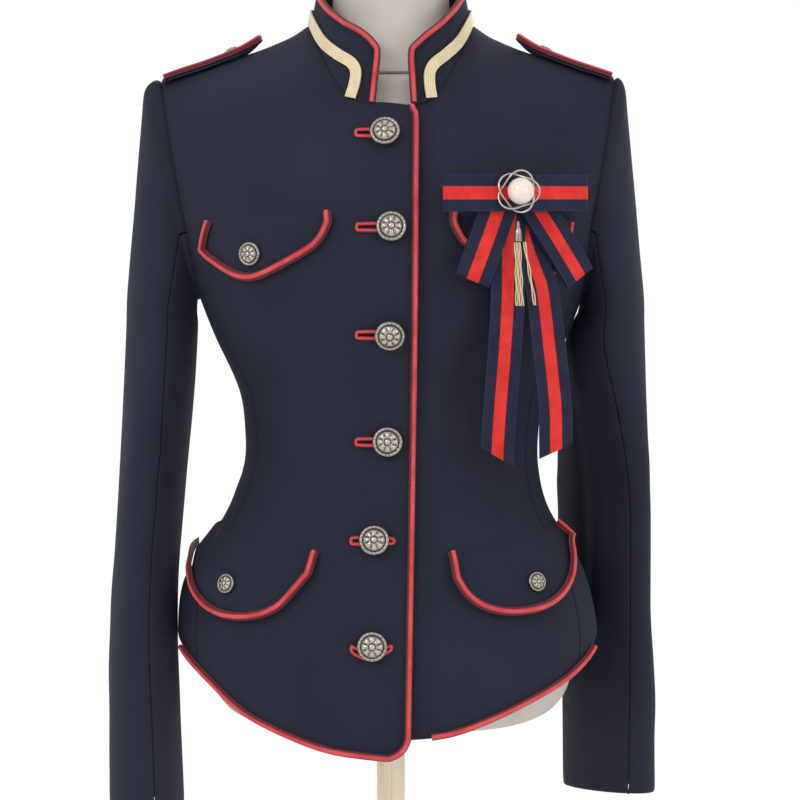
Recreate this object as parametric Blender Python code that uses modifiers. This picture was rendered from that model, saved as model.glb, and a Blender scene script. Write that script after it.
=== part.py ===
"""Military jacket on a dress form: a piped wool jacket with a stand collar, shoulder straps and
pocket flaps, a ribbon bow with a pearl brooch, and the countertop form and stand that carry it.

Metres, +Z up. The origin is the middle of the stand's underside, and the jacket faces -Y, so
the wearer's right is at -X. A turn is measured round the body: 0 at the centre front, 90 degrees
at the wearer's left side, -90 at the right side and 180 at the centre back.
"""

import math

import bmesh
import bpy
from mathutils import Matrix, Vector

RIGHT, LEFT = -1, 1  # the wearer's sides, as signs of X

# Driving sizes
CLOTH = 0.0020  # thickness of the wool cloth
SEAM_GAP = 0.0004  # between two panels at a seam
LIE_GAP = 0.0008  # below a trim that lies on a panel
PIPING_RADIUS = 0.0021
RIBBON_WIDTH = 0.0290
RIBBON_THICKNESS = 0.0010
BRAID_WIDTH = 0.0092
BRAID_THICKNESS = 0.0012
BRAID_GAP = 0.0016  # below the braid, because the collar's faces are flat between its columns
BUTTON_RADIUS = 0.0120
SMALL_BUTTON_RADIUS = 0.0073
BUTTON_GAP = 0.0007  # between a small button and its cloth

SECTION_POWER = 2.2  # 2 is an ellipse, more is squarer
SHOULDER_ROUND = 0.150  # drop below the shoulder line over which the body rounds over
UNDERLAP_EDGE = -0.012  # x of the left front's edge, under the right front
CORNER_RADIUS = 0.020  # lower corner of the right front

WEARER_SIDE_SHARE = {RIGHT: 1.0, LEFT: 0.972}  # how far each shoulder reaches
ARMHOLE_BLEND = 0.060  # height above the armhole's lowest point where that reach is full


def table(columns, *rows):
    """A table as a dictionary of columns."""
    return {name: [row[i] for row in rows] for i, name in enumerate(columns.split())}


# The jacket's outer face. right and left are half widths, front and back are depths.
TORSO = table(
    "z right left front back",
    (0.270, 0.170, 0.165, 0.110, 0.124),
    (0.381, 0.1745, 0.169, 0.112, 0.128),
    (0.422, 0.1700, 0.1610, 0.110, 0.124),
    (0.446, 0.1550, 0.1510, 0.107, 0.118),
    (0.484, 0.1335, 0.1280, 0.100, 0.104),
    (0.517, 0.1205, 0.1205, 0.095, 0.096),
    (0.549, 0.1195, 0.1212, 0.094, 0.094),
    (0.578, 0.124, 0.1252, 0.099, 0.096),
    (0.622, 0.144, 0.144, 0.111, 0.102),
    (0.654, 0.1566, 0.1566, 0.119, 0.106),
    (0.680, 0.1670, 0.1670, 0.121, 0.109),
    (0.735, 0.1870, 0.1870, 0.113, 0.112),
    (0.780, 0.1960, 0.1960, 0.102, 0.108),
    (0.830, 0.2050, 0.2050, 0.088, 0.096),
    (0.910, 0.2100, 0.2100, 0.068, 0.074),
)

# The shoulder line, from the centre to the shoulder's tip and past it
SHOULDER = table(
    "x z",
    (0.000, 0.9050),
    (0.066, 0.8775),
    (0.078, 0.8690),
    (0.091, 0.8628),
    (0.109, 0.8556),
    (0.150, 0.8426),
    (0.1885, 0.8308),
    (0.215, 0.8150),
)

# The armhole's edge on the front and on the back
ARMHOLE = table(
    "z front back",
    (0.6540, 0.1566, 0.1566),
    (0.6700, 0.1590, 0.1600),
    (0.7000, 0.1640, 0.1670),
    (0.7350, 0.1715, 0.1745),
    (0.7800, 0.1805, 0.1820),
    (0.8150, 0.1860, 0.1865),
    (0.8308, 0.1885, 0.1885),
)

# The right front's free edge, past the centre
FRONT_EDGE = table(
    "z x",
    (0.300, 0.0158),
    (0.380, 0.0172),
    (0.520, 0.0196),
    (0.620, 0.0210),
    (0.710, 0.0218),
    (0.810, 0.0222),
)

# The hem's height by turn, on the right half and on the left half
HEM = table(
    "turn right left",
    (0, 0.2845, 0.2985),
    (14, 0.2905, 0.3036),
    (26, 0.3020, 0.3147),
    (40, 0.3190, 0.3300),
    (54, 0.3430, 0.3450),
    (64, 0.3570, 0.3570),
    (76, 0.3710, 0.3710),
    (90, 0.3785, 0.3785),
    (130, 0.3720, 0.3720),
    (180, 0.3620, 0.3620),
)

HEM_PIPING_END = 73  # turn where the hem's piping ends, under the arm

# The neck seam and the stand collar's top edge, from the front edge to the centre back.
# on_back is 1 where the seam lies on the back, and shift moves the top to the wearer's left.
COLLAR = table(
    "x z on_back top_x top_y top_z shift",
    (0.0165, 0.8075, 0, 0.0118, -0.0790, 0.8490, 0.0027),
    (0.0265, 0.8085, 0, 0.0185, -0.0763, 0.8588, 0.0040),
    (0.0365, 0.8140, 0, 0.0280, -0.0700, 0.8680, 0.0038),
    (0.0460, 0.8288, 0, 0.0385, -0.0590, 0.8755, 0.0015),
    (0.0570, 0.8515, 0, 0.0515, -0.0390, 0.8895, 0.0000),
    (0.0660, 0.8775, 0, 0.0595, -0.0060, 0.9080, 0.0000),
    (0.0580, 0.8755, 1, 0.0545, 0.0220, 0.9130, 0.0000),
    (0.0350, 0.8710, 1, 0.0340, 0.0440, 0.9130, 0.0000),
    (0.0000, 0.8670, 1, 0.0000, 0.0535, 0.9120, 0.0000),
)
COLLAR_START = {RIGHT: 0.0125, LEFT: 0.0168}  # x of the collar's two ends on the neck seam
COLLAR_STEPS = len(COLLAR["x"]) - 1

# The sleeve below the armhole: its middle, its two half widths and how far it is turned
SLEEVES = {
    RIGHT: table(
        "z x y wide deep turn",
        (0.640, 0.1870, 0.002, 0.0265, 0.062, 4),
        (0.570, 0.1905, 0.000, 0.0258, 0.062, 4),
        (0.500, 0.1955, -0.003, 0.0245, 0.061, 4),
        (0.430, 0.2000, -0.006, 0.0235, 0.058, 4),
        (0.380, 0.2012, -0.008, 0.0240, 0.055, 4),
        (0.320, 0.2010, -0.010, 0.0262, 0.052, 4),
        (0.240, 0.1990, -0.012, 0.0280, 0.049, 4),
    ),
    LEFT: table(
        "z x y wide deep turn",
        (0.640, 0.1795, 0.007, 0.0250, 0.062, 5),
        (0.622, 0.1760, 0.010, 0.0288, 0.062, 8),
        (0.600, 0.1752, 0.015, 0.0290, 0.063, 12),
        (0.570, 0.1754, 0.022, 0.0262, 0.063, 18),
        (0.500, 0.1768, 0.042, 0.0205, 0.063, 27),
        (0.430, 0.1775, 0.057, 0.0200, 0.063, 28),
        (0.380, 0.1790, 0.064, 0.0200, 0.061, 28),
        (0.320, 0.1808, 0.060, 0.0240, 0.058, 28),
        (0.246, 0.1818, 0.058, 0.0264, 0.055, 28),
    ),
}
SLEEVE_TOP = 0.640  # height below which the sleeve hangs as a tube
SLEEVE_HEAD_SHARE = 0.40  # share of the sleeve's rows that lie above it
HEAD_FULLNESS = {RIGHT: 0.0100, LEFT: 0.0050}  # how far the sleeve heads stand past the armholes
HEAD_ROUND = 0.06  # share of the drop over which it rounds over
SLEEVE_SEAM = 115  # turn of the sleeve's two seams from its outer side
ARMHOLE_EASE = 0.0013  # between the armhole's edge and the sleeve

# Pocket flaps, from their front end to their side end, as turns and as heights of the seam.
# lift is how far the lower edge stands off the jacket.
FLAP_COLUMNS = "front side top_front top_side lift lean"
FLAPS = {
    ("chest", RIGHT): (13.5, 58.4, 0.7190, 0.7150, 0.0008, 7.4),
    ("chest", LEFT): (13.5, 52.3, 0.7190, 0.7150, 0.0008, 1.8),
    ("hip", RIGHT): (19.9, 96.0, 0.4510, 0.4710, 0.0025, 0.0),
    ("hip", LEFT): (16.0, 74.0, 0.4510, 0.4710, 0.0040, 0.0),
}
# How far a flap hangs below its seam, by turn from its front end
CHEST_EDGE = table(
    "turn drop",
    (0.0, 0.0060),
    (1.2, 0.0140),
    (2.8, 0.0220),
    (5.4, 0.0290),
    (12.0, 0.0385),
    (22.0, 0.0480),
    (28.0, 0.0495),
    (33.6, 0.0450),
    (40.4, 0.0345),
    (43.4, 0.0285),
    (44.9, 0.0215),
)
FLAP_EDGES = {
    ("chest", RIGHT): CHEST_EDGE,
    ("chest", LEFT): CHEST_EDGE,
    ("hip", RIGHT): table(
        "turn drop",
        (0.0, 0.0150),
        (1.5, 0.0230),
        (4.0, 0.0340),
        (8.0, 0.0480),
        (14.0, 0.0575),
        (20.0, 0.0610),
        (27.0, 0.0615),
        (33.0, 0.0585),
        (38.0, 0.0530),
        (43.0, 0.0460),
        (48.0, 0.0385),
        (56.0, 0.0290),
        (65.0, 0.0240),
        (76.1, 0.0220),
    ),
    ("hip", LEFT): table(
        "turn drop",
        (0.0, 0.0160),
        (1.7, 0.0300),
        (4.5, 0.0420),
        (9.0, 0.0510),
        (15.0, 0.0565),
        (24.0, 0.0585),
        (31.0, 0.0560),
        (36.0, 0.0510),
        (41.0, 0.0440),
        (47.0, 0.0310),
        (52.0, 0.0190),
        (58.0, 0.0150),
    ),
}
# Each flap button's turn from the front end, its place down the flap and its radius
FLAP_BUTTONS = {
    ("chest", RIGHT): (25.3, 0.62, 0.0095),
    ("chest", LEFT): (28.0, 0.62, 0.0073),
    ("hip", RIGHT): (27.0, 0.58, 0.0080),
    ("hip", LEFT): (26.9, 0.62, 0.0080),
}

# The dress form, from its underside to the top of its neck
FORM = table(
    "z wide front back",
    (0.3000, 0.000, 0.000, 0.000),
    (0.3002, 0.050, 0.034, 0.038),
    (0.3030, 0.095, 0.064, 0.072),
    (0.3110, 0.121, 0.080, 0.092),
    (0.3220, 0.136, 0.088, 0.102),
    (0.3400, 0.146, 0.095, 0.109),
    (0.3800, 0.152, 0.100, 0.114),
    (0.4200, 0.144, 0.099, 0.110),
    (0.4700, 0.122, 0.091, 0.094),
    (0.5100, 0.108, 0.085, 0.084),
    (0.5490, 0.107, 0.084, 0.082),
    (0.6000, 0.122, 0.094, 0.088),
    (0.6500, 0.141, 0.107, 0.094),
    (0.6850, 0.146, 0.109, 0.097),
    (0.7400, 0.150, 0.100, 0.099),
    (0.7850, 0.149, 0.083, 0.089),
    (0.8150, 0.138, 0.068, 0.078),
    (0.8320, 0.117, 0.061, 0.069),
)
FORM_NECK = table(
    "z wide front back",
    (0.8324, 0.000, 0.000, 0.000),
    (0.8326, 0.114, 0.059, 0.060),
    (0.8440, 0.088, 0.054, 0.054),
    (0.8550, 0.068, 0.050, 0.049),
    (0.8700, 0.053, 0.046, 0.044),
    (0.8900, 0.048, 0.044, 0.042),
    (0.9250, 0.047, 0.042, 0.041),
    (0.9400, 0.043, 0.037, 0.037),
    (0.9470, 0.026, 0.022, 0.025),
    (0.9480, 0.000, 0.000, 0.000),
)

BASE_RADIUS = 0.150
BASE_HEIGHT = 0.010
FOOT_RADIUS = 0.021
FOOT_TOP = 0.024
POLE_RADIUS = 0.0115
POLE_TOP = 0.2997

# Front buttons: where each one sits, where its buttonhole starts and ends, and how far
# the buttonhole sags below it
FRONT_BUTTONS = table(
    "x z hole_start hole_end sag",
    (-0.0042, 0.7808, -0.0290, 0.0020, 0.0000),
    (0.0006, 0.7058, -0.0285, 0.0060, 0.0000),
    (-0.0006, 0.6220, -0.0285, 0.0050, 0.0000),
    (-0.0024, 0.5365, -0.0290, 0.0030, 0.0000),
    (-0.0128, 0.4580, -0.0330, 0.0030, 0.0000),
    (-0.0143, 0.3755, -0.0325, 0.0010, 0.0075),
)
BUTTONHOLE_HALF_HEIGHT = 0.0027
BUTTONHOLE_RADIUS = 0.0013

COLOURS = {
    "navy_wool": ((0.022, 0.026, 0.045), 0.85, 0.0),
    "red_piping": ((0.50, 0.045, 0.055), 0.60, 0.0),
    "gold_braid": ((0.72, 0.60, 0.36), 0.45, 0.0),
    "ribbon": ((0.60, 0.05, 0.04), 0.65, 0.0),
    "silver": ((0.52, 0.49, 0.45), 0.35, 1.0),
    "pearl": ((0.85, 0.80, 0.74), 0.20, 0.0),
    "form_cloth": ((0.62, 0.56, 0.52), 0.90, 0.0),
    "stand_metal": ((0.80, 0.72, 0.55), 0.25, 1.0),
}


# ---------------------------------------------------------------- tables and curves


def along(values_at, values, at):
    """The value at a place on a smooth curve through a table's rows."""
    last = len(values_at) - 1
    if values_at[0] > values_at[last]:
        values_at, values = values_at[::-1], values[::-1]
    if at <= values_at[0]:
        return values[0]
    if at >= values_at[last]:
        return values[last]
    i = next(k for k in range(last) if at <= values_at[k + 1])

    def slope(k):
        before, after = max(k - 1, 0), min(k + 1, last)
        return (values[after] - values[before]) / (values_at[after] - values_at[before])

    step = values_at[i + 1] - values_at[i]
    t = (at - values_at[i]) / step
    start, end = slope(i) * step, slope(i + 1) * step
    return (
        (2 * t**3 - 3 * t**2 + 1) * values[i]
        + (t**3 - 2 * t**2 + t) * start
        + (3 * t**2 - 2 * t**3) * values[i + 1]
        + (t**3 - t**2) * end
    )


def mix(start, end, share):
    return start + (end - start) * share


def route_point(route, share):
    """A point on a smooth curve through a route's points, by share of their count."""
    steps = list(range(len(route)))
    at = share * steps[-1]
    return Vector([along(steps, [point[axis] for point in route], at) for axis in range(3)])


# ---------------------------------------------------------------- the body's surface


def half_width(z, x):
    return along(TORSO["z"], TORSO["left" if x > 0 else "right"], z)


def shoulder_round(x, z):
    """How much of the body's depth is left this near below the shoulder line, squared."""
    drop = along(SHOULDER["x"], SHOULDER["z"], abs(x)) - z
    short = 1 - min(max(drop / SHOULDER_ROUND, 0), 1)
    return 1 - short**2


def side_round(x, z):
    """How much of the body's depth is left this near its side."""
    share = min(abs(x) / half_width(z, x), 1)
    return (1 - share**SECTION_POWER) ** (1 / SECTION_POWER)


def body_point(x, z, on_back):
    depth = along(TORSO["z"], TORSO["back" if on_back else "front"], z)
    y = depth * side_round(x, z) * math.sqrt(shoulder_round(x, z))
    return Vector((x, y if on_back else -y, z))


def body_field(point):
    """Zero on the body's surface and rising outwards."""
    x, y, z = point
    depth = along(TORSO["z"], TORSO["back" if y > 0 else "front"], z)
    return (y / depth) ** 2 - side_round(x, z) ** 2 * shoulder_round(x, z)


def body_normal(point):
    step = 0.0004
    inner = Vector((point[0] * 0.9985, point[1], point[2]))
    slopes = []
    for axis in range(3):
        offset = Vector((0, 0, 0))
        offset[axis] = step
        slopes.append(body_field(inner + offset) - body_field(inner - offset))
    return Vector(slopes).normalized()


def turned_x(turn, z):
    """The x of a turn round the body at a height."""
    share = math.sin(math.radians(turn))
    reach = half_width(z, share)
    return math.copysign(reach * abs(share) ** (2 / SECTION_POWER), share)


def turn_of(x, z, on_back):
    share = min(abs(x) / half_width(z, x), 1) ** (SECTION_POWER / 2)
    turn = math.degrees(math.asin(share))
    return math.copysign(180 - turn if on_back else turn, x)


def on_body(turn, z, lift):
    """A point lifted off the body's surface, by turn and height."""
    point = body_point(turned_x(turn, z), z, abs(turn) > 90)
    return point + body_normal(point) * lift


def on_front(x, z, lift):
    point = body_point(x, z, False)
    return point + body_normal(point) * lift


# ---------------------------------------------------------------- making objects


def make_material(name):
    colour, roughness, metallic = COLOURS[name]
    material = bpy.data.materials.new(name)
    material.use_nodes = True
    shader = material.node_tree.nodes["Principled BSDF"]
    shader.inputs["Base Color"].default_value = (*colour, 1)
    shader.inputs["Roughness"].default_value = roughness
    shader.inputs["Metallic"].default_value = metallic
    return material


def add_object(name, data, material):
    piece = bpy.data.objects.new(name, data)
    data.materials.append(MATERIALS[material])
    JACKET.objects.link(piece)
    return piece


def finish_mesh(name, shape, material, sharp_from=50):
    """Turns a bmesh into a named, smooth-shaded object."""
    bmesh.ops.recalc_face_normals(shape, faces=shape.faces[:])
    if shape.calc_volume(signed=True) < 0:
        bmesh.ops.reverse_faces(shape, faces=shape.faces[:])
    mesh = bpy.data.meshes.new(name)
    shape.to_mesh(mesh)
    shape.free()
    mesh.shade_smooth()
    mesh.set_sharp_from_angle(angle=math.radians(sharp_from))
    return add_object(name, mesh, material)


def add_sheet(name, material, across, rows, place, thickness=CLOTH):
    """A closed piece of cloth. place(u, v, depth) gives a point that far below its outer face."""
    shape = bmesh.new()
    bmesh.ops.create_grid(shape, x_segments=across, y_segments=rows, size=0.5)
    outer = set(shape.verts)
    bmesh.ops.extrude_face_region(shape, geom=shape.faces[:], use_keep_orig=True)
    for vert in shape.verts:
        depth = 0 if vert in outer else thickness
        vert.co = place(vert.co.x + 0.5, vert.co.y + 0.5, depth)
    return finish_mesh(name, shape, material)


def add_cord(name, material, points, radius, closed=False, resolution=1):
    """A round cord through the points, with filled ends."""
    curve = bpy.data.curves.new(name, "CURVE")
    curve.dimensions = "3D"
    curve.bevel_depth = radius
    curve.bevel_resolution = resolution
    curve.use_fill_caps = not closed
    spline = curve.splines.new("POLY")
    spline.points.add(len(points) - 1)
    for knot, point in zip(spline.points, points):
        knot.co = (*point, 1)
    spline.use_cyclic_u = closed
    return add_object(name, curve, material)


def add_turned(name, material, profile, steps, at=(0, 0, 0), facing=(0, 0, 1)):
    """A turned piece. The profile runs from the top on its axis, outwards and down to the axis."""
    mesh = bpy.data.meshes.new(name)
    edges = [(i, i + 1) for i in range(len(profile) - 1)]
    mesh.from_pydata([(radius, 0, height) for radius, height in profile], edges, [])
    piece = add_object(name, mesh, material)
    screw = piece.modifiers.new("turn", "SCREW")
    screw.steps = screw.render_steps = steps
    screw.use_merge_vertices = True
    screw.merge_threshold = 0.00001
    turn = Vector(facing).to_track_quat("Z", "Y")
    piece.matrix_world = Matrix.Translation(at) @ turn.to_matrix().to_4x4()
    return piece


# ---------------------------------------------------------------- body panels

PANEL_ROWS = 20
SIDE_SEAM_ROWS = 0.6  # share of a panel's rows that lie below the armhole
FRONT_JUNCTION = 0.676  # height where the side seams meet the armhole, front and back
BACK_JUNCTION = 0.690
SIDE_SEAM_TURN = {"front": 63.0, "back": 117.0}
LAP_COLUMNS, FRONT_COLUMNS, BACK_COLUMNS = 2, 11, 8
LAP_SHARE = LAP_COLUMNS / (LAP_COLUMNS + FRONT_COLUMNS)  # of a front's columns, where the fronts lap


def hem_height(turn):
    return along(HEM["turn"], HEM["left" if turn > 0 else "right"], abs(turn))


def armhole_x(z, side, on_back):
    low = ARMHOLE["z"][0]
    reach = mix(1, WEARER_SIDE_SHARE[side], min((z - low) / ARMHOLE_BLEND, 1))
    return side * reach * along(ARMHOLE["z"], ARMHOLE["back" if on_back else "front"], z)


def armhole_top(side):
    """The height of the shoulder's tip."""
    reach = ARMHOLE["front"][-1] * WEARER_SIDE_SHARE[side]
    return along(SHOULDER["x"], SHOULDER["z"], reach)


def armhole_height(share, start, side):
    """Heights up the armhole, closer together near the rounded shoulder."""
    return mix(start, armhole_top(side), math.sin(share * math.pi / 2))


def side_edge(v, side, on_back):
    """A panel's side seam, then its armhole, as (turn, height)."""
    junction = BACK_JUNCTION if on_back else FRONT_JUNCTION
    waist_turn = SIDE_SEAM_TURN["back" if on_back else "front"] * side
    top_turn = turn_of(armhole_x(junction, side, on_back), junction, on_back)
    if v <= SIDE_SEAM_ROWS:
        share = v / SIDE_SEAM_ROWS
        turn = mix(waist_turn, top_turn, share**3)
        return turn, mix(hem_height(waist_turn), junction, share)
    share = (v - SIDE_SEAM_ROWS) / (1 - SIDE_SEAM_ROWS)
    z = armhole_height(share, junction, side)
    return turn_of(armhole_x(z, side, on_back), z, on_back), z


def neck_station(at):
    """The neck seam's x, height and side of the shoulder line at a place along the collar."""
    steps = list(range(COLLAR_STEPS + 1))
    x = along(steps, COLLAR["x"], at)
    z = along(steps, COLLAR["z"], at)
    z = min(z, along(SHOULDER["x"], SHOULDER["z"], x))
    return x, z


SIDE_STATION = COLLAR["on_back"].index(1) - 1  # where the neck seam crosses the shoulder line


def top_edge(u, side, on_back, first_station=0):
    """Neckline from its start at the centre, then the shoulder seam out to the tip."""
    if on_back:
        first_station = COLLAR_STEPS
    # The panels have one column to each station of the neckline
    neck = abs(SIDE_STATION - first_station) / (BACK_COLUMNS if on_back else FRONT_COLUMNS)
    if u <= neck:
        x, z = neck_station(mix(first_station, SIDE_STATION, u / neck))
        return turn_of(side * x, z, on_back), z
    share = (u - neck) / (1 - neck)
    tip = ARMHOLE["front"][-1] * WEARER_SIDE_SHARE[side]
    x = mix(SHOULDER["x"][1], tip, share)
    z = along(SHOULDER["x"], SHOULDER["z"], x)
    return turn_of(side * x, z, on_back), z


def filled(u, v, bottom, top, start, end):
    """A point inside four edges, each given by a function of its share."""
    corners = (
        (bottom(0), (1 - u) * (1 - v)),
        (bottom(1), u * (1 - v)),
        (top(0), (1 - u) * v),
        (top(1), u * v),
    )
    point = []
    for axis in range(2):
        value = (1 - v) * bottom(u)[axis] + v * top(u)[axis]
        value += (1 - u) * start(v)[axis] + u * end(v)[axis]
        value -= sum(corner[axis] * weight for corner, weight in corners)
        point.append(value)
    return point


def upright_share(v, low, middle, high):
    """Heights up a panel's inner edge, matched to the rows of its side edge."""
    if v <= SIDE_SEAM_ROWS:
        return mix(low, middle, v / SIDE_SEAM_ROWS)
    share = (v - SIDE_SEAM_ROWS) / (1 - SIDE_SEAM_ROWS)
    return mix(middle, high, math.sin(share * math.pi / 2))


def corner_cut(distance):
    """How far a round corner pulls an edge in, this far from the corner."""
    left = max(CORNER_RADIUS - distance, 0)
    return CORNER_RADIUS - math.sqrt(CORNER_RADIUS**2 - left**2)


CORNER_SHARE = CORNER_RADIUS * (1 - math.sqrt(0.5))  # the round corner's middle, from each edge
INNER_MIDDLE = FRONT_JUNCTION - 0.012  # the fronts' height at the middle where the armhole starts
NECK_CORNER = 0.0040  # how far the right front's top edge drops towards its free edge


def front_edge(z):
    return along(FRONT_EDGE["z"], FRONT_EDGE["x"], z)


def right_front_place(u, v, depth):
    """The right front: the strip that laps over the left front, then the panel to its side seam."""
    inner = -COLLAR["x"][0]
    neck_z = COLLAR["z"][0]
    low = hem_height(-1)
    edge = front_edge(upright_share(v, low, INNER_MIDDLE, neck_z))

    def height(x):
        share = (x - inner) / (edge - inner)
        corner = low + corner_cut(edge - x)
        return upright_share(v, corner, INNER_MIDDLE, neck_z - NECK_CORNER * share**2)

    def start(share):
        z = upright_share(share, hem_height(-7.0), INNER_MIDDLE, neck_z)
        return turn_of(inner, z, False), z

    def top(share):
        return start(1) if share == 0 else top_edge(share, RIGHT, False)

    def end(share):
        turn, z = side_edge(share, RIGHT, False)
        return turn + SEAM_TURN, z

    def bottom(share):
        turn = mix(start(0)[0], SEAM_TURN - SIDE_SEAM_TURN["front"], share)
        return turn, hem_height(turn)

    if u < LAP_SHARE:
        free = edge - corner_cut(height(edge - CORNER_SHARE) - low)
        x = mix(free, inner, u / LAP_SHARE)
        z = height(x)
        turn = turn_of(x, z, False)
    else:
        turn, z = filled((u - LAP_SHARE) / (1 - LAP_SHARE), v, bottom, top, start, end)
    return shoulder_parted(on_body(turn, z, -depth), False)


SEAM_TURN = math.degrees(SEAM_GAP / 2 / 0.13)  # half a seam's gap as a turn


def shoulder_parted(point, on_back):
    """Keeps the fronts and the backs a seam's gap apart at the shoulder line."""
    gap = SEAM_GAP / 2 * (1 if on_back else -1)
    return point + Vector((0, gap, 0))


LEFT_NECK_START = 1  # the neckline's station where the left front's panel starts
UNDERLAP_END = COLLAR["x"][LEFT_NECK_START]


def underlap_depth(x):
    """How far the left front lies below the surface, where the right front covers it."""
    share = min(max((x - UNDERLAP_END - 0.0005) / 0.010, 0), 1)
    return (CLOTH + 0.0009) * (1 - share * share * (3 - 2 * share))




def left_front_place(u, v, depth):
    """The left front: a strip under the right front, then the panel up to its side seam."""
    neck_z = neck_station(LEFT_NECK_START)[1]

    def start(share):
        z = upright_share(share, hem_height(9.0), INNER_MIDDLE, neck_z)
        return turn_of(UNDERLAP_END, z, False), z

    def top(share):
        return start(1) if share == 0 else top_edge(share, LEFT, False, LEFT_NECK_START)

    def end(share):
        turn, z = side_edge(share, LEFT, False)
        return turn - SEAM_TURN, z

    def bottom(share):
        turn = mix(start(0)[0], SIDE_SEAM_TURN["front"] - SEAM_TURN, share)
        return turn, hem_height(turn)

    if u < LAP_SHARE:
        share = u / LAP_SHARE
        x = mix(UNDERLAP_EDGE, UNDERLAP_END, share)
        low = mix(hem_height(0.01), hem_height(9.0), share)
        high = mix(COLLAR["z"][0] - NECK_CORNER, neck_z, share)
        z = upright_share(v, low, INNER_MIDDLE, high)
        turn = turn_of(x, z, False)
    else:
        turn, z = filled((u - LAP_SHARE) / (1 - LAP_SHARE), v, bottom, top, start, end)
    sunk = underlap_depth(turned_x(turn, z))
    return shoulder_parted(on_body(turn, z, -depth - sunk), False)


def side_place(side):
    def armhole_arc(share):
        """The armhole's lower arc, from the front seam to the back seam."""
        low = ARMHOLE["z"][0]
        swing = 2 * share - 1
        junction = BACK_JUNCTION if swing > 0 else FRONT_JUNCTION
        z = low + (junction - low) * abs(swing) ** 2
        on_back = swing > 0
        turn = turn_of(armhole_x(z, side, on_back), z, on_back)
        return (turn, z) if abs(swing) > 0.001 else (90.0 * side, low)

    def seam(share, on_back):
        turn, z = side_edge(share * SIDE_SEAM_ROWS, side, on_back)
        return turn - SEAM_TURN * side * (1 if on_back else -1), z

    def bottom(share):
        turn = mix(seam(0, False)[0], seam(0, True)[0], share)
        return turn, hem_height(turn)

    def top(share):
        turn, z = armhole_arc(share)
        return turn + SEAM_TURN * side * (1 - 2 * share), z

    def start(share):
        return seam(share, False)

    def end(share):
        return seam(share, True)

    def place(u, v, depth):
        turn, z = filled(u, v, bottom, top, start, end)
        return on_body(turn, z, -depth)

    return place


def back_place(side):
    centre = (180 - SEAM_TURN) * side

    def start(share):
        z = upright_share(share, hem_height(180 * side), BACK_JUNCTION, COLLAR["z"][-1])
        return centre, z

    def end(share):
        turn, z = side_edge(share, side, True)
        return turn + SEAM_TURN * side, z

    def top(share):
        turn, z = top_edge(share, side, True)
        return (centre, z) if share == 0 else (turn, z)

    def bottom(share):
        turn = mix(centre, end(0)[0], share)
        return turn, hem_height(turn)

    def place(u, v, depth):
        turn, z = filled(u, v, bottom, top, start, end)
        return shoulder_parted(on_body(turn, z, -depth), True)

    return place


# ---------------------------------------------------------------- sleeves


def sleeve_row(side, z):
    rows = SLEEVES[side]
    return [along(rows["z"], rows[name], z) for name in ("x", "y", "wide", "deep", "turn")]


def tube_point(side, turn, z):
    """A point of the hanging sleeve. turn is 0 on its outer side and 90 at its front."""
    x, y, wide, deep, twist = sleeve_row(side, z)
    out = wide * math.cos(math.radians(turn))
    forward = deep * math.sin(math.radians(turn))
    twist = math.radians(twist)
    out, forward = (
        out * math.cos(twist) + forward * math.sin(twist),
        forward * math.cos(twist) - out * math.sin(twist),
    )
    return Vector((side * (x + out), y - forward, z))


def armhole_ring(side, turn):
    """The armhole's edge at a turn of the sleeve."""
    top, low = armhole_top(side), ARMHOLE["z"][0]
    z = mix(low, top, (1 + math.cos(math.radians(turn))) / 2)
    on_back = math.sin(math.radians(turn)) < 0
    return body_point(armhole_x(z, side, on_back), z, on_back)


def sleeve_point(side, turn, v):
    if v >= SLEEVE_HEAD_SHARE:
        share = (v - SLEEVE_HEAD_SHARE) / (1 - SLEEVE_HEAD_SHARE)
        return tube_point(side, turn, mix(SLEEVE_TOP, SLEEVES[side]["z"][-1], share))
    share = (v / SLEEVE_HEAD_SHARE) ** 2
    upper = (1 + math.cos(math.radians(turn))) / 2
    rounded = math.sqrt(1 - (1 - min(share / HEAD_ROUND, 1)) ** 2)
    out = ARMHOLE_EASE + HEAD_FULLNESS[side] * rounded * mix(0.25, 1, upper) * (1 - share)
    point = armhole_ring(side, turn).lerp(tube_point(side, turn, SLEEVE_TOP), share)
    return point + Vector((side * out, 0, 0))


def sleeve_place(side, start, end):
    """The part of a sleeve between two turns."""

    def place(u, v, depth):
        turn = mix(start, end, u)
        v = min(max(v, 0.0), 1.0)
        point = sleeve_point(side, turn, v)
        low, high = max(v - 0.004, 0), min(v + 0.004, 1)
        down = sleeve_point(side, turn, high) - sleeve_point(side, turn, low)
        round_it = sleeve_point(side, turn + 1, v) - sleeve_point(side, turn - 1, v)
        normal = round_it.cross(down).normalized() * side
        return point + normal * depth

    return place


SLEEVE_SEAM_TURN = 0.45  # half a sleeve seam's gap as a turn


def add_sleeves():
    for side, word in ((RIGHT, "right"), (LEFT, "left")):
        upper = sleeve_place(side, -SLEEVE_SEAM, SLEEVE_SEAM)
        under = sleeve_place(
            side, SLEEVE_SEAM + SLEEVE_SEAM_TURN, 360 - SLEEVE_SEAM - SLEEVE_SEAM_TURN
        )
        add_sheet(f"sleeve_upper_{word}", "navy_wool", 9, 14, upper)
        add_sheet(f"sleeve_under_{word}", "navy_wool", 6, 14, under)


# ---------------------------------------------------------------- collar and braid

COLLAR_LIFT = 0.0009  # above the panels' neck edge


def seam_point(station):
    x, z = neck_station(station)
    return body_point(x, z, station > SIDE_STATION)


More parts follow.
